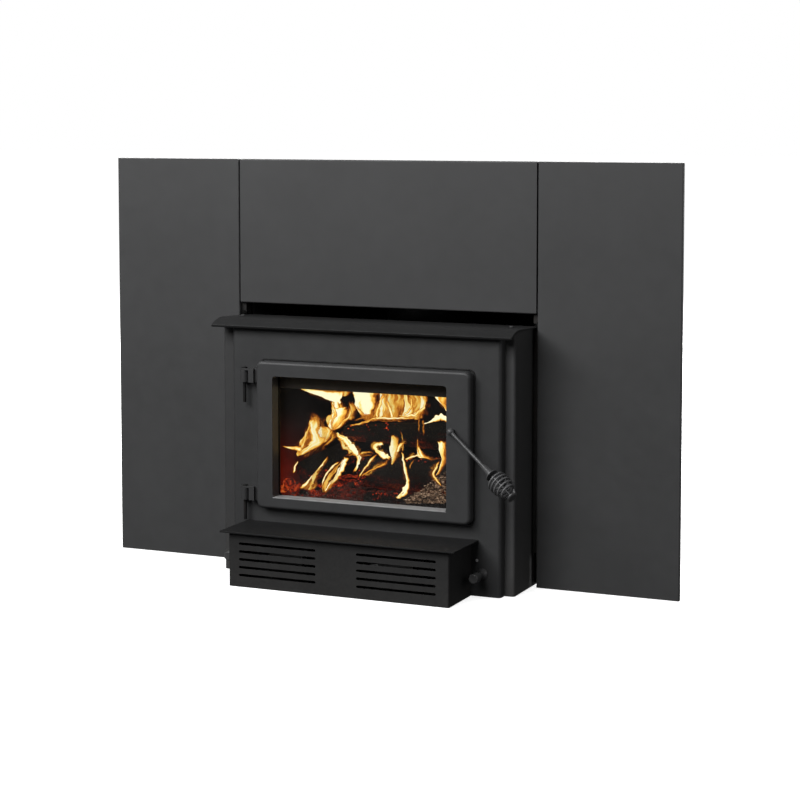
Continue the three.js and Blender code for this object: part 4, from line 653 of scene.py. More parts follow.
# The left casing is painted darker than the rest of the casing: painted shade.
left_casing_painted_shade = stove_paint("left_casing_paint_painted_shade", (0.038, 0.0382, 0.039), rough=(0.5, 0.62), dust=0.2, wear_and_highlight=0.5)
cover_paint = stove_paint("blower_cover_paint", (0.0145, 0.0145, 0.015), rough=(0.48, 0.6), dust=0.12)
casting = cast_paint("cast_charcoal_paint", (0.042, 0.0425, 0.0438))
small_casting = cast_paint("hinge_paint", (0.034, 0.034, 0.035), grain=0.3)
black_steel = scorched_steel("black_steel_finish")
pin_steel = scorched_steel("pin_steel_finish", (0.016, 0.016, 0.016), (0.4, 0.6), 0.6)
dark_steel = brushed_steel("handle_steel", (0.085, 0.0855, 0.087), (0.42, 0.54), metallic=0.25)
coil_steel = brushed_steel("coil_steel", (0.135, 0.135, 0.137), (0.4, 0.52), metallic=0.15)
# The air-wash bar's pale grey stands in for light that falls on it behind the glass: painted light.
air_wash_bar_painted_light = stove_paint("air_wash_bar_painted_light", (0.095, 0.093, 0.09), rough=(0.7, 0.85), grain=0.4, mottle=0.3)
bright_steel = brushed_steel("bright_steel", (0.42, 0.42, 0.42))
zinc = brushed_steel("zinc_plating", (0.55, 0.55, 0.555), (0.4, 0.55), metallic=0.0)
screw_steel = brushed_steel("screw_steel", (0.085, 0.085, 0.087), (0.35, 0.5), metallic=0.6)
brick = sooty_brick("sooty_fireclay")
# The left side brick carries the painted firelight glow.
brick_painted_firelight = sooty_brick("fireclay_painted_firelight", 0.32)
board = fibre_board("smoked_board")
glass = pane("ceramic_glass")
rope = rope_fibre("gasket_fibre")
packing = packing_wool("packing_wool")
# Black for the door's lip: a seal's own black, which also serves as painted shade for the gap round the door.
seal_and_gap_shade = moulded_plastic("seal_and_gap_shade", (0.004, 0.004, 0.004), (0.7, 0.9))
# The sill strip's pale grey is a painted highlight along the lit lower edge of the window.
sill_painted_highlight = brushed_steel("sill_painted_highlight_finish", (0.26, 0.26, 0.262), (0.55, 0.7), (1, 30, 1), metallic=0.0)
plastic = moulded_plastic("black_plastic_finish", (0.055, 0.055, 0.056))
wood = charred_wood("charred_log", 0.26, 0.07)
coals = ember_coal("glowing_coals", 0.62, 0.26)
spark = ember_coal("glowing_bits_finish", 1.6, 0.8)
ash_and_painted_firelight = ash_flake("ash_and_bark_painted_firelight")

# ------------------------------------------------------------------ CAD nodes

LOOKS = [  # material, bevel, nodes
    (panel_paint, 0.0008, "surround_left surround_right surround_top"),
    (lid_paint, 0.0012, "lid_plate"),
    (satin, 0.0008, "front_plate"),
    (shelf_paint, 0.0007, "ash_shelf"),
    (left_casing_painted_shade, 0.0005, "casing_left"),
    (casing_paint, 0.0005, "casing_right casing_back casing_top"),
    (cover_paint, 0.0005, "blower_housing"),
    (casting, 0.0010, "flue_collar"),
    (casting, 0.0008, "door_frame"),
    (small_casting, 0.0007, "hinge_knuckle_upper hinge_knuckle_lower hinge_leaf_upper hinge_leaf_lower"),
    (pin_steel, 0.0006, "hinge_pin_upper hinge_pin_lower"),
    (black_steel, 0.0000, "air_tube_1 air_tube_2 air_tube_3"),
    (black_steel, 0.0004, "blower_scroll_left blower_scroll_right glass_retainer"),
    (black_steel, 0.0005, "surround_bracket_left surround_bracket_right base_plate air_box"),
    (black_steel, 0.0008, "firebox_shell tube_rail_left tube_rail_right rod_guide"),
    (black_steel, 0.0012, "blower_motor"),
    (air_wash_bar_painted_light, 0.0006, "air_wash_bar"),
    (bright_steel, 0.0000, "blower_wheel_left blower_wheel_right"),
    (bright_steel, 0.0005, "air_damper air_rod blower_shaft"),
    (bright_steel, 0.0006, "latch_cam"),
    (bright_steel, 0.0008, "latch_keeper"),
    (dark_steel, 0.0004, "handle_rod"),
    (brick, 0.0020, "floor_brick_1 floor_brick_2 floor_brick_3 side_brick_right rear_brick"),
    (brick_painted_firelight, 0.0020, "side_brick_left"),
    (board, 0.0020, "baffle_board"),
    (glass, 0.0006, "door_glass"),
    (plastic, 0.0005, "air_knob speed_knob"),
    (plastic, 0.0006, "speed_control"),
]

for material, bevel, names in LOOKS:
    for name in names.split():
        obj = nodes[name]
        obj.data.materials.clear()
        obj.data.materials.append(material)
        refine(obj, bevel)

# ------------------------------------------------------------------ screws


def screw_points(radius, hexagon):
    """A screw head about +Z, its seat at z = 0: a hexagon with a flange, or a low dome with a cross recess."""
    if hexagon:
        flange = [(1.35, 0.0), (1.35, 0.18), (1.1, 0.28), (0, 0.28)]
        head = [(1.0, 0.2), (1.0, 0.72), (0.86, 0.86), (0, 0.86)]
        return merge([lathe_points([(radius * r, radius * z) for r, z in profile], sides)
                      for profile, sides in ((flange, 28), (head, 6))])
    rings = 14
    arc = [i / rings * math.pi / 2 for i in range(rings + 1)]
    profile = [(radius, 0.0)] + [(radius * math.cos(a), radius * (0.12 + 0.42 * math.sin(a))) for a in arc]
    verts, faces = lathe_points(profile, 40)
    for v in verts:
        across, along = sorted((abs(v.x), abs(v.y)))
        if across < radius * 0.17 and along < radius * 0.62 and v.z > radius * 0.2:
            v.z -= radius * 0.26
    return verts, faces


def screws(name, places, along, radius, body="root", hexagon=True, material=screw_steel):
    """A row of screw heads as one piece, each turned its own way."""
    parts = [moved(screw_points(radius, hexagon), place, along, 0.7 + 1.9 * i) for i, place in enumerate(places)]
    refine(piece(name, merge(parts), body, material), 0, 28)


plate_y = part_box("front_plate")[0].y
screws("plate_screws", [(0.221, plate_y, 0.063)], (0, -1, 0), 0.0028, hexagon=False, material=zinc)
lid_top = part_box("lid_plate")[1].z
screws("lid_screws", [(x, -0.045, lid_top) for x in (-0.262, 0.262)], UP, 0.0042, hexagon=False, material=satin)
BRACKET_LEG = 0.0219  # from the bracket's rear edge to the face that its screws sit on
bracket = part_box("surround_bracket_right")
places = [(side * (bracket[1].x - 0.012), bracket[1].y - BRACKET_LEG, z)
          for side in (-1, 1) for z in (0.10, 0.25, 0.56, 0.66)]
screws("bracket_screws", places, (0, 1, 0), 0.0045)
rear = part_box("casing_back")[1]
CASING_BEND = 0.04  # how far back a casing side starts to come in
for side, name in SIDES:
    wide = abs(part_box(f"casing_{name}")[0 if side < 0 else 1].x)
    end = Vector((side * rear.x, rear.y, 0))
    run = (end - Vector((side * wide, CASING_BEND, 0))).normalized()
    at = end - run * 0.012
    places = [(at.x, at.y, z) for z in (0.03, 0.135, 0.24, 0.35, 0.46)]
    screws(f"casing_screws_{name}", places, (side * run.y, -side * run.x, 0), 0.004)
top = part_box("casing_top")[1].z
places = [(x, 0.03, top) for x in (-0.26, 0.0, 0.26)] + [(x, 0.385, top) for x in (-0.23, 0.0, 0.23)]
screws("top_screws", places + [(x, 0.2, top) for x in (-0.252, 0.252)], UP, 0.004)
COLLAR_Y, BOLT_CIRCLE = 0.190, 0.0875
collar_low, collar_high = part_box("flue_collar")
collar_x = (collar_low.x + collar_high.x) / 2
places = [(collar_x + BOLT_CIRCLE * math.cos(a), COLLAR_Y + BOLT_CIRCLE * math.sin(a), collar_low.z + 0.005)
          for a in (0.5, 2.07, 3.64, 5.21)]
screws("collar_bolts", places, UP, 0.0035)
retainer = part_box("glass_retainer")
places = [(x, retainer[1].y, z) for x in (retainer[0].x + 0.0035, retainer[1].x - 0.0035) for z in (0.194, 0.3445)]
screws("retainer_screws", places, (0, 1, 0), 0.0026, "door", hexagon=False)

# ------------------------------------------------------------------ thin trims


def extruded(profile, start, end):
    """A closed profile of (y, z) points run along X."""
    verts = [Vector((x, y, z)) for x in (start, end) for y, z in profile]
    n = len(profile)
    faces = grid_faces(2, n, ring=True)
    faces += [list(range(n))[::-1], [n + i for i in range(n)]]
    return verts, faces


def bar(low, high, start, end):
    """A square bar or strip along X between two (y, z) corners."""
    return extruded([low, (high[0], low[1]), high, (low[0], high[1])], start, end)


door_low, door_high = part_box("door_frame")
glass_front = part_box("door_glass")[0].y
WINDOW = (-0.1643, 0.1715, 0.147)  # left, right and lower edge
front = door_low.y
outline = [(front - 0.0004, -0.0010), (front - 0.0004, 0.0003), (front + 0.0003, 0.0010),
           (glass_front - 0.0006, 0.0010), (glass_front - 0.0006, 0.0001), (front + 0.0012, 0.0001),
           (front + 0.0006, -0.0010)]
# A thin strip on the window's lower edge. Its pale colour is a painted highlight.
shape = extruded([(y, WINDOW[2] + z) for y, z in outline], WINDOW[0] + 0.0006, WINDOW[1] - 0.0004)
refine(piece("window_sill_strip", shape, "door", sill_painted_highlight, smooth=False), 0.0002)

# A thin black lip round the door's edge: partly a seal, partly painted shade for the dark gap line round the door.
LIP = 0.0014  # thickness of the thin round lip that follows the door's edge
loop = rounded_loop((door_low.x - 0.0008, door_low.z - 0.0008), (door_high.x + 0.0008, door_high.z + 0.0014),
                    0.010, plate_y - LIP, 0.006)
piece("door_seal_and_shade_lip", tube_points(loop, LIP, 8, closed=True), "root", seal_and_gap_shade)

for side, name in SIDES:
    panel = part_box(f"surround_{name}")[0 if side > 0 else 1].x
    middle = (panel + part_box(f"casing_{name}")[1 if side > 0 else 0].x) / 2 + side * 0.0026
    path = [Vector((middle, 0.0245 + 0.0006 * math.sin(i * 0.9), 0.006 + 0.478 * i / 60)) for i in range(61)]
    strip = tube_points(path, [0.0104 + 0.0004 * math.sin(i * 1.7) for i in range(61)], 16, squeeze=1.05)
    tuft = lump_points(Vector((side * 0.2945, 0.0150, 0.4620)), 0.0112, 3.0, (0.95, 0.9, 1.05), 3)
    piece(f"surround_packing_{name}", merge([strip, tuft]), "root", packing)

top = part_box("surround_top")[1].z
for side, name in SIDES:
    seam = side * abs(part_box(f"surround_{name}")[0 if side > 0 else 1].x)
    y = bracket[0].y
    shape = bar((y - 0.0002, top - 0.052), (y + 0.0009, top - 0.0006), seam - 0.009, seam + 0.009)
    refine(piece(f"seam_strip_{name}", shape, "root", black_steel, smooth=False), 0.0002)

cover_low, cover_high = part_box("blower_housing")
WALL = 0.0008  # how far the sheet under the blower cover stays inside its walls
# A black sheet under the blower cover, where the floor lies in shade: painted shade.
shape = bar((cover_low.y + WALL, 0.0006), (cover_high.y - WALL, 0.0014), cover_low.x + WALL, cover_high.x - WALL)
piece("blower_bottom_shade_sheet", shape, "root", black_steel, smooth=False)

# ------------------------------------------------------------------ coil of the handle


def eased(x, low, high):
    """0 up to low, 1 from high on, and smooth between."""
    x = min(1, max(0, (x - low) / (high - low)))
    return x * x * (3 - 2 * x)


def coil_centre_line(length, wire):
    """The coil's helix along +Z, with a straight, eased end of one wire at each side."""
    pitch, start, finish, bulge = 0.0074, 0.009, 0.007, 0.0092
    stride, kept = 0.0002, 6
    ease = 2.2 * wire
    turn = height = travelled = 0.0
    leaving = held = None
    points = []
    while height < length:
        share = height / length
        radius = start + (finish - start) * share + bulge * math.sin(math.pi * share ** 0.8)
        lead = math.atan2(pitch, 2 * math.pi * radius)
        if leaving is None and height >= length - (wire + ease / 2):
            leaving = travelled
        out = 0 if leaving is None else eased(travelled, leaving, leaving + ease)
        straight = max(1 - eased(travelled, wire, wire + ease), out)
        angle = lead + (math.pi / 2 - lead) * straight
        if straight > 0.999 and held is not None:
            radius = held
        held = radius
        points.append(Vector((radius * math.cos(turn), radius * math.sin(turn), height)))
        height += stride * math.sin(angle)
        turn += stride * math.cos(angle) / radius
        travelled += stride
    points.append(Vector((points[-1].x, points[-1].y, length)))
    return points[::kept] + [points[-1]]


BOSS = Vector((0.1824, -0.1278, 0.2883))  # where the handle turns on the door
HANDLE_WAY = Vector((0.774, -0.355, -0.523)).normalized()
WIRE = 0.0036
reach = np.array([v.co for v in nodes["handle_coil"].data.vertices]) @ np.array(HANDLE_WAY)
coil_from, coil_to = (float(end) - BOSS.dot(HANDLE_WAY) for end in (reach.min(), reach.max()))
shape = tube_points(coil_centre_line(coil_to - coil_from, WIRE), WIRE / 2, 14)
shape = moved(shape, BOSS + HANDLE_WAY * coil_from, HANDLE_WAY)
coil = piece("coil_wire", shape, "handle", coil_steel)
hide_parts("handle_coil")

# ------------------------------------------------------------------ gasket rope

ROPE = 0.00345  # radius
ROPE_SIDES = 12
low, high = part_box("door_gasket")
middle_y = (low.y + high.y) / 2
flatness = (high.y - low.y) / 2 / ROPE
loop = rounded_loop((low.x + ROPE, low.z + ROPE), (high.x - ROPE, high.z - ROPE), 0.004, middle_y)
verts, faces = tube_points(loop, ROPE, ROPE_SIDES, closed=True)
verts = [Vector((v.x, middle_y + (v.y - middle_y) * flatness, v.z)) for v in verts]
uvs = [((i % ROPE_SIDES) / ROPE_SIDES * 3.0, (i // ROPE_SIDES) * 0.55) for i in range(len(verts))]
gasket = piece("gasket_rope_loop", (verts, faces), "door", rope, uvs=uvs)
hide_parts("door_gasket")

# ------------------------------------------------------------------ logs


def log_piece(name, node, start, end, radii, seed, squash=0.0):
    """A split, charred log: an uneven tapered trunk with bark ridges, checks and rough sawn ends."""
    sides, steps = 72, 96
    uv_scale = 10
    run = end - start
    along = run.normalized()
    side = along.cross(UP).normalized()
    up = side.cross(along)
    verts, uvs = [], []
    for i in range(steps + 1):
        share = i / steps
        far = share * run.length
        radius = radii[0] + (radii[1] - radii[0]) * share
        rounding = 1 - 0.16 * max(0.0, 1 - min(share, 1 - share) * run.length / 0.007) ** 2
        for k in range(sides):
            angle = 2 * math.pi * k / sides
            direction = side * math.cos(angle) + up * math.sin(angle)
            point = direction * 2.2 + Vector((seed * 5.0, far * 16, seed))
            lump = noise.noise(point * 0.9) * 0.16
            ridge = (1 - abs(noise.noise(Vector((angle * 3.2 + seed, far * 9, seed * 2.0)))) * 2) * 0.05
            fine = noise.fractal(Vector((angle * 7, far * 60, seed)), 0.9, 2.0, 4) * 0.028
            flat = 1 - squash * max(0.0, math.cos(angle - 1.1)) ** 3
            r = radius * rounding * (0.90 + lump + ridge + fine) * flat
            verts.append(start + run * share + direction * r + along * (noise.noise(point * 2) * 0.003))
            uvs.append((angle * radius * uv_scale, far * uv_scale))
    faces = grid_faces(steps + 1, sides, ring=True)
    for base, way in ((0, -1), (steps * sides, 1)):
        centre = sum((verts[base + k] for k in range(sides)), Vector()) / sides
        previous = [base + k for k in range(sides)]
        for share in (0.8, 0.55, 0.3, 0):
            ring = [len(verts) + k for k in range(sides if share else 1)]
            for k in range(len(ring)):
                point = centre + (verts[base + k] - centre) * share
                rough = noise.fractal(point * 160, 0.8, 2.0, 3) * 0.0016 if share else 0.0
                verts.append(point + along * rough * way)
                uvs.append((point.dot(side) * uv_scale, point.dot(up) * uv_scale))
            for k in range(sides):
                n = (k + 1) % sides
                face = [previous[k], previous[n]] + ([ring[n], ring[k]] if share else ring)
                faces.append(face[::way])
            previous = ring
    obj = piece(name, (verts, faces), "root", wood, uvs=uvs)
    refine(obj, 0, 50)
    if node:
        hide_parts(node)


def log_ends(node):
    """A log's ends and radii, read from its solid: the rings at its two ends."""
    points = np.unique(np.round(np.array([v.co for v in nodes[node].data.vertices]), 6), axis=0)
    middle = points.mean(0)
    along = np.linalg.svd(points - middle)[2][0]
    along = along if along[0] > -1e-9 else -along
    share = (points - middle) @ along
    halves = points[share < 0], points[share >= 0]
    radii = [float(np.linalg.norm(half - half.mean(0), axis=1).mean()) for half in halves]
    return Vector(halves[0].mean(0)), Vector(halves[1].mean(0)), radii


logs = []
for node, seed, squash in (("log_right", 3, 0.10), ("log_upper", 7, 0.0), ("log_left", 12, 0.12)):
    start, end, radii = log_ends(node)
    log_piece(node + "_charred", node, start, end, [r * 1.02 for r in radii], seed, squash)
    logs.append((start, end, radii))

# ------------------------------------------------------------------ ember bed

bed_low, bed_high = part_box("ember_bed")


def bed_height(x, y):
    """Height of the heap over a point: the bed's top, with lumps, lower towards its rim."""
    inside = min(x - bed_low.x, bed_high.x - x, y - bed_low.y, bed_high.y - y) / 0.030
    rim = math.sin(max(0.0, min(1.0, inside)) * math.pi / 2)
    bumps = 0.0035 * noise.noise(Vector((x * 42, y * 42, 3))) + 0.002 * noise.noise(Vector((x * 120, y * 120, 8)))
    return bed_low.z + (bed_high.z - bed_low.z - 0.003 + bumps) * (0.12 + 0.88 * rim)


across, deep = 150, 96
width = across + 1
verts = []
for j in range(deep + 1):
    for i in range(width):
        x = bed_low.x + (bed_high.x - bed_low.x) * i / across
        y = bed_low.y + (bed_high.y - bed_low.y) * j / deep
        verts.append(Vector((x, y, bed_height(x, y))))
faces = grid_faces(deep + 1, width)
rim = [*range(width), *(j * width + across for j in range(1, deep + 1)),
       *(deep * width + i for i in range(across - 1, -1, -1)), *(j * width for j in range(deep - 1, 0, -1))]
foot = [len(verts) + k for k in range(len(rim))]
verts.extend(Vector((verts[i].x, verts[i].y, bed_low.z)) for i in rim)
for k in range(len(rim)):
    n = (k + 1) % len(rim)
    faces.append([rim[k], foot[k], foot[n], rim[n]])
faces.append(foot)
bed = piece("ember_heap", (verts, faces), "root", coals)
refine(bed, 0, 60)
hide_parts("ember_bed")


def rest_on(px, py, proud=0.0):
    """The point of a log or of the heap that shows at a pixel, or None."""
    y = -0.066
    while y < 0.12:
        point = seen(px, py, y)
        for start, end, radii in logs:
            run = end - start
            share = (point - start).dot(run) / run.length_squared
            radius = radii[0] + (radii[1] - radii[0]) * share
            if 0.0 <= share <= 1.0 and (point - start - run * share).length < radius + proud:
                return point
        above_bed = bed_low.x < point.x < bed_high.x and y > bed_low.y + 0.002
        if above_bed and point.z < bed_height(point.x, y) + proud:
            return point
        y += 0.0007
    return None


random.seed(41)
parts = []
for i in range(260):
    x = random.uniform(bed_low.x + 0.010, bed_low.x + 0.215)
    y = random.uniform(bed_low.y + 0.003, bed_low.y + 0.070)
    size = random.uniform(0.0022, 0.0056)
    stretch = (1, random.uniform(0.6, 1), random.uniform(0.45, 0.8))
    parts.append(lump_points(Vector((x, y, bed_height(x, y) + size * 0.35)), size, i * 0.61, stretch))
BIG_LUMPS = [  # pixel x, pixel y and size of the lumps that stand out in front
    (289, 483, 0.0125), (297, 487, 0.0105), (284, 489, 0.009), (304, 491, 0.0085), (311, 492, 0.0095),
    (318, 494, 0.0075), (293, 491, 0.009), (334, 492, 0.008), (343, 491, 0.0095), (350, 486, 0.0085),
    (357, 492, 0.008), (361, 483, 0.006), (349, 496, 0.007), (340, 484, 0.006),
]
for px, py, size in BIG_LUMPS:
    parts.append(lump_points(rest_on(px, py) or seen(px, py, -0.052), size, px * 0.37, (1, 0.8, 0.75), 3))
refine(piece("glowing_lumps", merge(parts), "root", coals), 0, 50)

# a split, burnt-through log that lies in front on the heap
front_log = Vector((-0.014, -0.0470, 0.1385)), Vector((0.186, -0.0450, 0.1420)), [0.0195, 0.0205]
log_piece("log_front_charred", None, *front_log, 19, 0.10)
logs.append(front_log)

SPARK_AREAS = [  # lowest and highest pixel x, lowest and highest pixel y, count
    (345, 368, 452, 462, 26), (330, 366, 468, 486, 60), (292, 330, 468, 478, 14), (372, 398, 493, 500, 60),
    (405, 444, 456, 462, 18), (345, 400, 423, 430, 16), (350, 366, 462, 476, 26),
]
random.seed(67)
parts = []
for low_x, high_x, low_y, high_y, count in SPARK_AREAS:
    for _ in range(count):
        place = rest_on(random.uniform(low_x, high_x), random.uniform(low_y, high_y), 0.0006)
        if place:
            size = random.uniform(0.0007, 0.0022)
            parts.append(lump_points(place, size, random.random() * 9, (1, 0.7, 0.6), 1))
piece("glowing_bits", merge(parts), "root", spark)

random.seed(97)
parts = []
for i in range(620):
    share = random.random() ** 0.7
    top = 499 - 30 * share ** 1.2
    place = rest_on(406 + 40 * share, top + (503 - top) * random.random() ** 0.8, 0.0015)
    if place:
        size = random.uniform(0.0012, 0.0046)
        stretch = (1.5, random.uniform(0.12, 0.4), random.uniform(0.2, 0.6))
        parts.append(lump_points(place, size, i * 0.43, stretch, 1))
piece("ash_flakes", merge(parts), "root", ash_and_painted_firelight, smooth=False)

# ------------------------------------------------------------------ flames


def through(points, count):
    """Evenly numbered points on a smooth curve through a few."""
    points = [Vector(p) for p in points]
    if len(points) == 2:
        return [points[0].lerp(points[1], i / (count - 1)) for i in range(count)]
    found = []
    last = len(points) - 1
    for i in range(count):
        at = i / (count - 1) * last
        k = min(int(at), last - 1)
        t = at - k
        p0, p1, p2, p3 = points[max(0, k - 1)], points[k], points[k + 1], points[min(last, k + 2)]
        curve = p1 * 2 + (p2 - p0) * t + (p0 * 2 - p1 * 5 + p2 * 4 - p3) * t * t + (p1 * 3 - p0 - p2 * 3 + p3) * t ** 3
        found.append(curve * 0.5)
    return found


flame_numbers = itertools.count(1)


def flame_sheet(name, material, y, left, right, bow=0.004, across=14, step=8):
    """A sheet of flame between two edges, each drawn from root to tip by places in the photograph."""
    seed = next(flame_numbers) * 3.7
    count = step * max(len(left), len(right))
    low, high = ([seen(p.x, p.y, y) for p in through([(*p, 0) for p in edge], count)] for edge in (left, right))
    verts, uvs, flow = [], [], []
    run = 0.0
    for i in range(count):
        middle = low[i].lerp(high[i], 0.5)
        if i:
            run += (middle - last).length
        last = middle
        wide = (high[i] - low[i]).length
        for k in range(across + 1):
            u = k / across
            wave = noise.noise(Vector((u * 2.0 + seed, run * 40, seed * 0.3)))
            lick = noise.noise(Vector((seed + u * 0.7, run * 55, seed))) * min(wide, 0.03) * 0.30 if step > 1 else 0.0
            point = low[i].lerp(high[i], u)
            point.x += lick * (2 * u - 1)
            point.y += -bow * math.sin(math.pi * u) + 0.0025 * wave
            verts.append(point)
            uvs.append((u, i / (count - 1)))
            flow.append(((u - 0.5) * wide * 100 + seed * 2.3, run * 100 + seed * 1.1))
    obj = piece(name, (verts, grid_faces(count, across + 1)), "root", material, uvs=uvs)
    add_uvs(obj.data, "Flow", flow)
    obj.visible_diffuse = False
    obj.visible_shadow = False


def flame_stroke(name, material, y, points, fringe=None):
    """A tongue of flame: (pixel x, pixel y, half width in pixels) from root to tip, with ragged edges.

    A fringe is a wider, thinner tongue behind it, blown to one side."""
    seed = len(name) * 1.7 + points[0][0] * 0.31
    fine = through(points, 7 * len(points))
    edges = []
    for side in (-1, 1):
        edge = []
        for i, (px, py, half) in enumerate(fine):
            before, after = fine[max(0, i - 1)], fine[min(len(fine) - 1, i + 1)]
            run = Vector((after[0] - before[0], after[1] - before[1])).normalized()
            lick = noise.noise(Vector((px * 0.23 + seed, py * 0.23, side * 2.0 + seed)))
            ripple = noise.noise(Vector((px * 0.6, py * 0.6 + seed, side * 3.0)))
            reach = max(0.35, half) * (1.0 + 0.75 * lick + 0.45 * ripple)
            edge.append((px - side * run.y * reach, py + side * run.x * reach))
        edges.append(edge)
    flame_sheet(name, material, y, *edges, bow=0.0015, across=8, step=1)
    if fringe:
        lean = 1.0 if noise.noise(Vector((seed, 0.5, 0.5))) > 0 else -1.0
        wide = [(px + lean * 1.1, py - 0.6, half * 1.9 + 1.6) for px, py, half in points]
        flame_stroke(name + "_fringe", fringe, y + 0.003, wide)


pale = flame("flame_pale", 1.36, base=1.0, lines=0.40, edge=0.34, root=0.06, tip=0.12, solid=0.38, rim=0.30)
cream = flame("flame_cream", 1.42, base=0.76, lines=0.50, edge=0.40, root=0.08, tip=0.16, solid=0.40, rim=0.25)
gold = flame("flame_gold", 1.2, base=0.50, lines=0.50, edge=0.42, root=0.10, tip=0.22, solid=0.42, rim=0.22)
amber = flame("flame_amber", 1.05, base=0.36, lines=0.26, edge=0.28, root=0.10, tip=0.08, solid=0.30)
veil = flame("flame_veil", 1.0, base=0.17, lines=0.42, edge=0.22, root=0.10, tip=0.06, solid=0.50)
thread = flame("flame_thread", 1.35, base=0.62, lines=0.34, edge=0.50, root=0.16, tip=0.34, solid=0.36)
veil_fringe = flame("flame_fringe", 0.8, base=0.20, lines=0.30, edge=0.5, root=0.20, tip=0.35, solid=0.62)
wisp = flame("flame_wisp", 1.1, base=0.26, lines=0.36, edge=0.50, root=0.20, tip=0.42, solid=0.42)

FRINGED = ("streak_corner", "corner_right", "left_tongue", "hook_body", "peak", "right_edge")

SHEETS = [  # name, material, depth, and the places of the left and right edge
    ("streak_corner", pale, 0.000,
     [(340, 404), (330, 401), (318, 396), (306, 392), (297, 387)],
     [(346, 391), (334, 390), (322, 389), (310, 388), (298, 386.5)]),
    ("patch_top", amber, 0.022, [(328, 397), (327, 392), (326, 386)], [(351, 396), (354, 392), (356, 387)]),
    ("column", cream, 0.004,
     [(331, 430), (330.5, 421), (333, 412), (335, 404), (332, 394)],
     [(335, 428), (344, 421), (345, 411), (342, 403), (345, 394)]),
    ("column_fringe", gold, 0.012,
     [(330, 431), (328, 420), (331, 410), (333, 398)],
     [(344, 427), (353, 419), (350, 410), (347, 397)]),
    ("column_foot", cream, 0.001,
     [(331, 431), (330, 423), (331, 416), (334, 407)],
     [(337, 430), (347, 422), (351, 414), (349, 406)]),
    ("gap_ember", wisp, 0.030, [(346, 422), (346, 410), (347, 399)], [(357, 420), (357, 408), (356, 399)]),
    ("block", pale, 0.010,
     [(360, 416), (356, 408), (355, 400), (352, 389)],
     [(374, 414), (377, 407), (380, 399), (383, 390)]),
    ("curtain_middle", gold, 0.018,
     [(376, 418), (377, 409), (380, 400), (379, 389)],
     [(394, 419), (395, 410), (391, 400), (389, 390)]),
    ("curtain_back", amber, 0.036,
     [(358, 421), (362, 409), (370, 399), (366, 388)],
     [(432, 420), (431, 409), (429, 399), (430, 391)]),
    ("curtain_right", gold, 0.014,
     [(400, 417), (404, 410), (403, 401), (400, 390)],
     [(418, 417), (416, 408), (413, 400), (414, 391)]),
    ("swirl_right", gold, 0.006,
     [(398, 415), (408, 416), (417, 411), (420, 403), (418, 392)],
     [(404, 418), (416, 419), (427, 412), (430, 402), (429, 392)]),
    ("corner_right", cream, -0.030,
     [(446, 412), (441, 405), (437, 399), (433, 393)],
     [(450, 409), (449, 403), (448, 398), (447, 393)]),
    ("crest", wisp, 0.002,
     [(350, 427), (362, 426), (372, 423), (384, 422), (400, 422), (424, 421)],
     [(350, 424), (362, 421), (372, 416), (384, 417), (400, 416), (424, 417)]),
    ("left_body", gold, -0.044,
     [(297, 457), (298, 449), (302, 441), (306, 430), (311, 414)],
     [(309, 454), (322, 446), (331, 439), (326, 428), (314, 413)]),
    ("left_shoulder", gold, -0.040,
     [(306, 452), (312, 443), (317, 433), (322, 424)],
     [(322, 446), (335, 438), (337, 434), (326, 423)]),
    ("left_haze", wisp, -0.036,
     [(294, 462), (290, 450), (298, 436), (304, 420), (310, 408)],
     [(318, 456), (338, 442), (342, 432), (330, 420), (314, 408)]),
    ("left_tongue", thread, -0.046,
     [(303, 455), (296, 452), (290, 449), (283, 446)],
     [(304, 445), (297, 446), (290, 446.5), (283, 445.5)]),
    ("low_left", veil, -0.066,
     [(299, 490), (306, 483), (313, 474), (321, 466), (330, 456)],
     [(314, 491), (318, 483), (319, 475), (324, 467), (331, 457)]),
    ("low_middle", wisp, -0.064,
     [(322, 496), (320, 487), (323, 477), (330, 467), (338, 460), (345, 455)],
     [(328, 497), (334, 488), (342, 477), (348, 467), (351, 460), (348, 455)]),
    ("hook_body", gold, -0.054,
     [(391, 465), (390.5, 457), (389, 448), (390, 440), (391.5, 433)],
     [(394.5, 465), (399, 457), (402.5, 448), (400, 440), (397, 434)]),
    ("peak", cream, -0.050,
     [(418, 457), (417, 451), (417, 446), (417.5, 438)],
     [(431, 459), (424, 452), (420, 446), (418.5, 438)]),
    ("right_edge", cream, -0.062,
     [(435, 477), (438, 470), (441, 463), (441, 454), (438, 447), (436, 441)],
     [(439, 475), (444, 468), (448, 460), (449, 451), (449, 445), (448, 439)]),
]

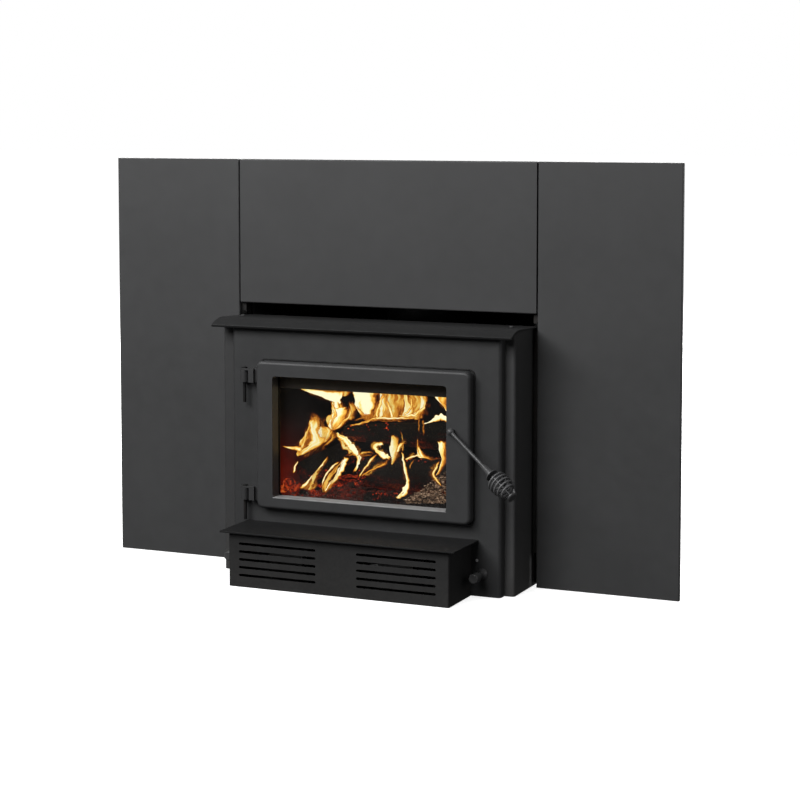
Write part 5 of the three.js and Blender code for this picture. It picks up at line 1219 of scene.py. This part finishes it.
STROKES = [  # name, material, depth, (pixel x, pixel y, half width) from root to tip, and the fringe's material
    ("column_white", thread, -0.002, [(334, 431, 1.2), (332, 423, 1.6), (335, 414, 2.0), (333, 407, 1.6),
      (331, 399, 1.0)]),
    ("column_white_right", thread, -0.002, [(334, 430, 1.0), (341, 425, 2.0), (348, 418, 2.0), (350, 411, 1.4),
      (348, 406, 0.8)]),
    ("block_foot", thread, 0.000, [(358, 405, 1.2), (360, 412, 1.8), (365, 415, 2.0), (372, 413.5, 1.6),
      (375, 408, 1.2)]),
    ("arc_one", thread, 0.004, [(378, 419, 1.4), (378, 411, 1.8), (381, 402, 1.8), (384, 392, 1.6)]),
    ("arc_two", thread, 0.004, [(392, 419, 1.4), (391, 411, 1.8), (388, 402, 1.8), (386, 392, 1.6)]),
    ("arc_three", thread, 0.004, [(402, 416, 1.6), (409, 411, 1.8), (412, 403, 1.5), (409, 393, 1.4)]),
    ("arc_four", thread, 0.002, [(404, 417, 1.6), (414, 415, 2.0), (423, 409, 1.8), (425, 401, 1.4),
      (421, 393, 1.2)]),
    ("crest_line", thread, -0.002, [(348, 426, 1.0), (358, 424, 1.2), (368, 421, 1.4), (378, 418, 1.4),
      (392, 418, 1.2), (408, 418, 1.2), (424, 418, 1.0)]),
    ("crest_thread", wisp, -0.004, [(350, 422, 1.2), (360, 419, 1.5), (371, 417, 1.2), (384, 421, 1.2),
      (400, 421, 1.2), (430, 422, 1.0)]),
    ("log_end_blob", cream, -0.034, [(424, 424, 0.7), (432, 421.5, 1.2), (438, 418.5, 3.2), (443, 418.5, 3.8),
      (449, 420, 3.2)]),
    ("drip_one", wisp, -0.046, [(419, 418, 1.4), (419, 426, 1.4), (420, 436, 1.0)]),
    ("drip_two", wisp, -0.046, [(423, 419, 1.4), (424, 427, 1.4), (424, 437, 1.0)]),
    ("left_root", thread, -0.050, [(298, 461, 0.9), (295, 467, 1.2), (293, 474, 0.8)], veil_fringe),
    ("between", cream, -0.052, [(337, 433, 1.4), (342, 438, 2.8), (348, 444, 3.4), (354, 451, 3.2), (359, 457, 2.3),
      (357, 465, 1.7), (352.5, 474, 0.8)], veil_fringe),
    ("between_fringe", wisp, -0.050, [(336, 434, 2.0), (344, 445, 4.5), (353, 452, 4.6), (360, 458, 3.6),
      (355, 468, 2.4)]),
    ("low_left_core", thread, -0.068, [(300, 489, 2.2), (305, 485, 2.0), (312, 477, 1.1), (319, 469, 1.0),
      (325, 461, 1.4), (330, 455, 1.2)]),
    ("low_middle_core", cream, -0.067, [(325, 492, 0.8), (330, 485, 1.6), (337, 477, 2.2), (343, 468, 3.0),
      (347, 461, 3.0), (346, 456, 2.0)]),
    ("low_middle_edge", thread, -0.067, [(325, 496, 0.7), (322.5, 487, 0.9), (324, 478, 1.0), (330, 469, 1.1),
      (337, 463, 1.5), (343, 460, 1.4)]),
    ("inner_long", thread, -0.056, [(359, 477, 0.8), (365, 468, 1.2), (371, 460, 1.5),
      (378, 453.5, 1.3)], veil_fringe),
    ("inner_foot", wisp, -0.050, [(345, 457, 1.5), (355, 454, 2.2), (366, 455, 2.4), (376, 453, 2.0)]),
    ("inner_low", thread, -0.058, [(360, 477, 0.8), (368, 472, 1.2), (377, 468, 1.6), (384, 464, 2.2),
      (391, 458, 2.2)], veil_fringe),
    ("hook", cream, -0.055, [(384, 443.5, 1.3), (378, 443.5, 2.0), (374.5, 447, 1.9), (378, 452, 2.0),
      (385, 456, 3.2), (393, 460, 2.4)], veil_fringe),
    ("hook_left", wisp, -0.055, [(356, 456, 1.0), (363, 453, 1.6), (371, 452, 1.8), (378, 455, 1.4)]),
    ("broad_right", thread, -0.056, [(392, 464, 1.2), (395, 456, 1.7), (398.5, 448, 2.0), (403, 443, 1.9),
      (408, 444.5, 1.5)], veil_fringe),
    ("long_down", cream, -0.060, [(396, 498, 1.0), (401, 495.5, 2.4), (407.5, 488, 2.9), (408, 479, 2.0),
      (406, 469, 1.7), (403.5, 458, 1.5), (401.5, 450, 1.0)]),
    ("long_down_fringe", veil_fringe, -0.058, [(399, 497, 2.4), (407, 489, 4.0), (406, 477, 3.6), (402, 464, 2.8),
      (400, 451, 2.0)]),
    ("long_thread", wisp, -0.048, [(402, 454, 1.0), (403, 443, 1.1), (402, 435, 1.0), (399, 427, 0.8)]),
    ("branch", thread, -0.052, [(404, 459, 1.1), (411, 457, 1.5), (420, 456, 1.4), (432, 459, 1.4),
      (444, 458, 1.8)], veil_fringe),
    ("branch_low", wisp, -0.054, [(409, 470, 0.8), (412, 463, 1.4), (416, 458, 1.4)]),
    ("right_low", thread, -0.060, [(442, 487, 0.7), (437, 480, 1.4), (434, 474, 1.5), (437, 466, 1.8),
      (441, 459, 1.8)], veil_fringe),
]


FRINGE_REACH = 2.4  # pixels
FRINGE_BEHIND = 0.004


def widened(edge, other):
    """One edge of a sheet, moved away from the other by some pixels."""
    moved_edge = []
    for (px, py), (qx, qy) in zip(edge, other):
        apart = math.hypot(px - qx, py - qy) or 1.0
        moved_edge.append((px + (px - qx) / apart * FRINGE_REACH, py + (py - qy) / apart * FRINGE_REACH))
    return moved_edge


for name, material, y, left, right in SHEETS:
    flame_sheet("flame_" + name, material, y, left, right)
    if name in FRINGED:
        edges = widened(left, right), widened(right, left)
        flame_sheet(f"flame_{name}_fringe", veil_fringe, y + FRINGE_BEHIND, *edges)
for name, *rest in STROKES:
    flame_stroke("flame_" + name, *rest)

# ------------------------------------------------------------------ floor and light

FLOOR_HALF = 40.0
FLOOR_Z = -0.0006  # just under the part, so that the two don't share a plane


def stage_floor():
    """A pale floor that fades to the white background; it gives no light back to the part."""
    ground = Finish("floor_white", roughness=0.9, specular=0.0)
    ground.base = ground.ramp(ground.noise(2.0, 2, 0.5), [(0.0, (0.80, 0.80, 0.80)), (1.0, (0.84, 0.84, 0.84))])
    away = ground.add("ShaderNodeVectorMath", {0: ground.place}, operation="LENGTH").outputs["Value"]
    faded = ground.ramp(ground.spread(away, 0.6, 2.2), [(0.0, (0.80, 0.80, 0.80)), (1.0, (1.0, 1.0, 1.0))])
    ground.glow(faded, 1.0)
    mesh = bpy.data.meshes.new("floor")
    corners = [(FLOOR_HALF * x, FLOOR_HALF * y, 0) for x, y in ((-1, -1), (1, -1), (1, 1), (-1, 1))]
    mesh.from_pydata(corners, [], [(0, 1, 2, 3)])
    obj = linked("floor", mesh, ground.done())
    obj.location.z = FLOOR_Z
    obj.visible_diffuse = False
    obj.visible_glossy = False


stage_floor()

world = bpy.data.worlds.new("studio")
scene.world = world
world.use_nodes = True
tree = world.node_tree
path = tree.nodes.new("ShaderNodeLightPath")
mix = tree.nodes.new("ShaderNodeMix")
mix.data_type = "RGBA"
mix.inputs[6].default_value = (0.045, 0.045, 0.045, 1)  # what lights the part
mix.inputs[7].default_value = (1.0, 1.0, 1.0, 1)  # what the background shows
tree.links.new(path.outputs["Is Camera Ray"], mix.inputs["Factor"])
tree.links.new(mix.outputs[2], tree.nodes["Background"].inputs["Color"])


def soft_light(name, at, target, size, power):
    """A white, rectangular light that looks at a place."""
    data = bpy.data.lights.new(name, "AREA")
    data.shape = "RECTANGLE"
    data.size, data.size_y = size
    data.energy = power
    light = bpy.data.objects.new(name, data)
    light.location = at
    light.rotation_euler = (Vector(target) - Vector(at)).to_track_quat("-Z", "Y").to_euler()
    scene.collection.objects.link(light)


soft_light("key", (-1.0, -3.5, 3.0), (0.0, 0.0, 0.45), (3.6, 2.6), 170)
soft_light("top_wash", (-1.4, -1.6, 1.9), (-0.35, 0.0, 0.66), (1.2, 0.8), 23)
soft_light("right_rim", (3.4, -0.6, 1.4), (0.0, 0.0, 0.35), (0.8, 1.6), 10)
soft_light("back", (0.3, 4.2, 2.8), (0.0, 0.2, 0.3), (3.0, 2.0), 300)
soft_light("left_behind", (-2.6, 2.8, 1.8), (0.0, 0.2, 0.3), (1.8, 1.8), 130)
soft_light("right_behind", (2.6, 2.8, 1.8), (0.0, 0.2, 0.3), (1.8, 1.8), 130)
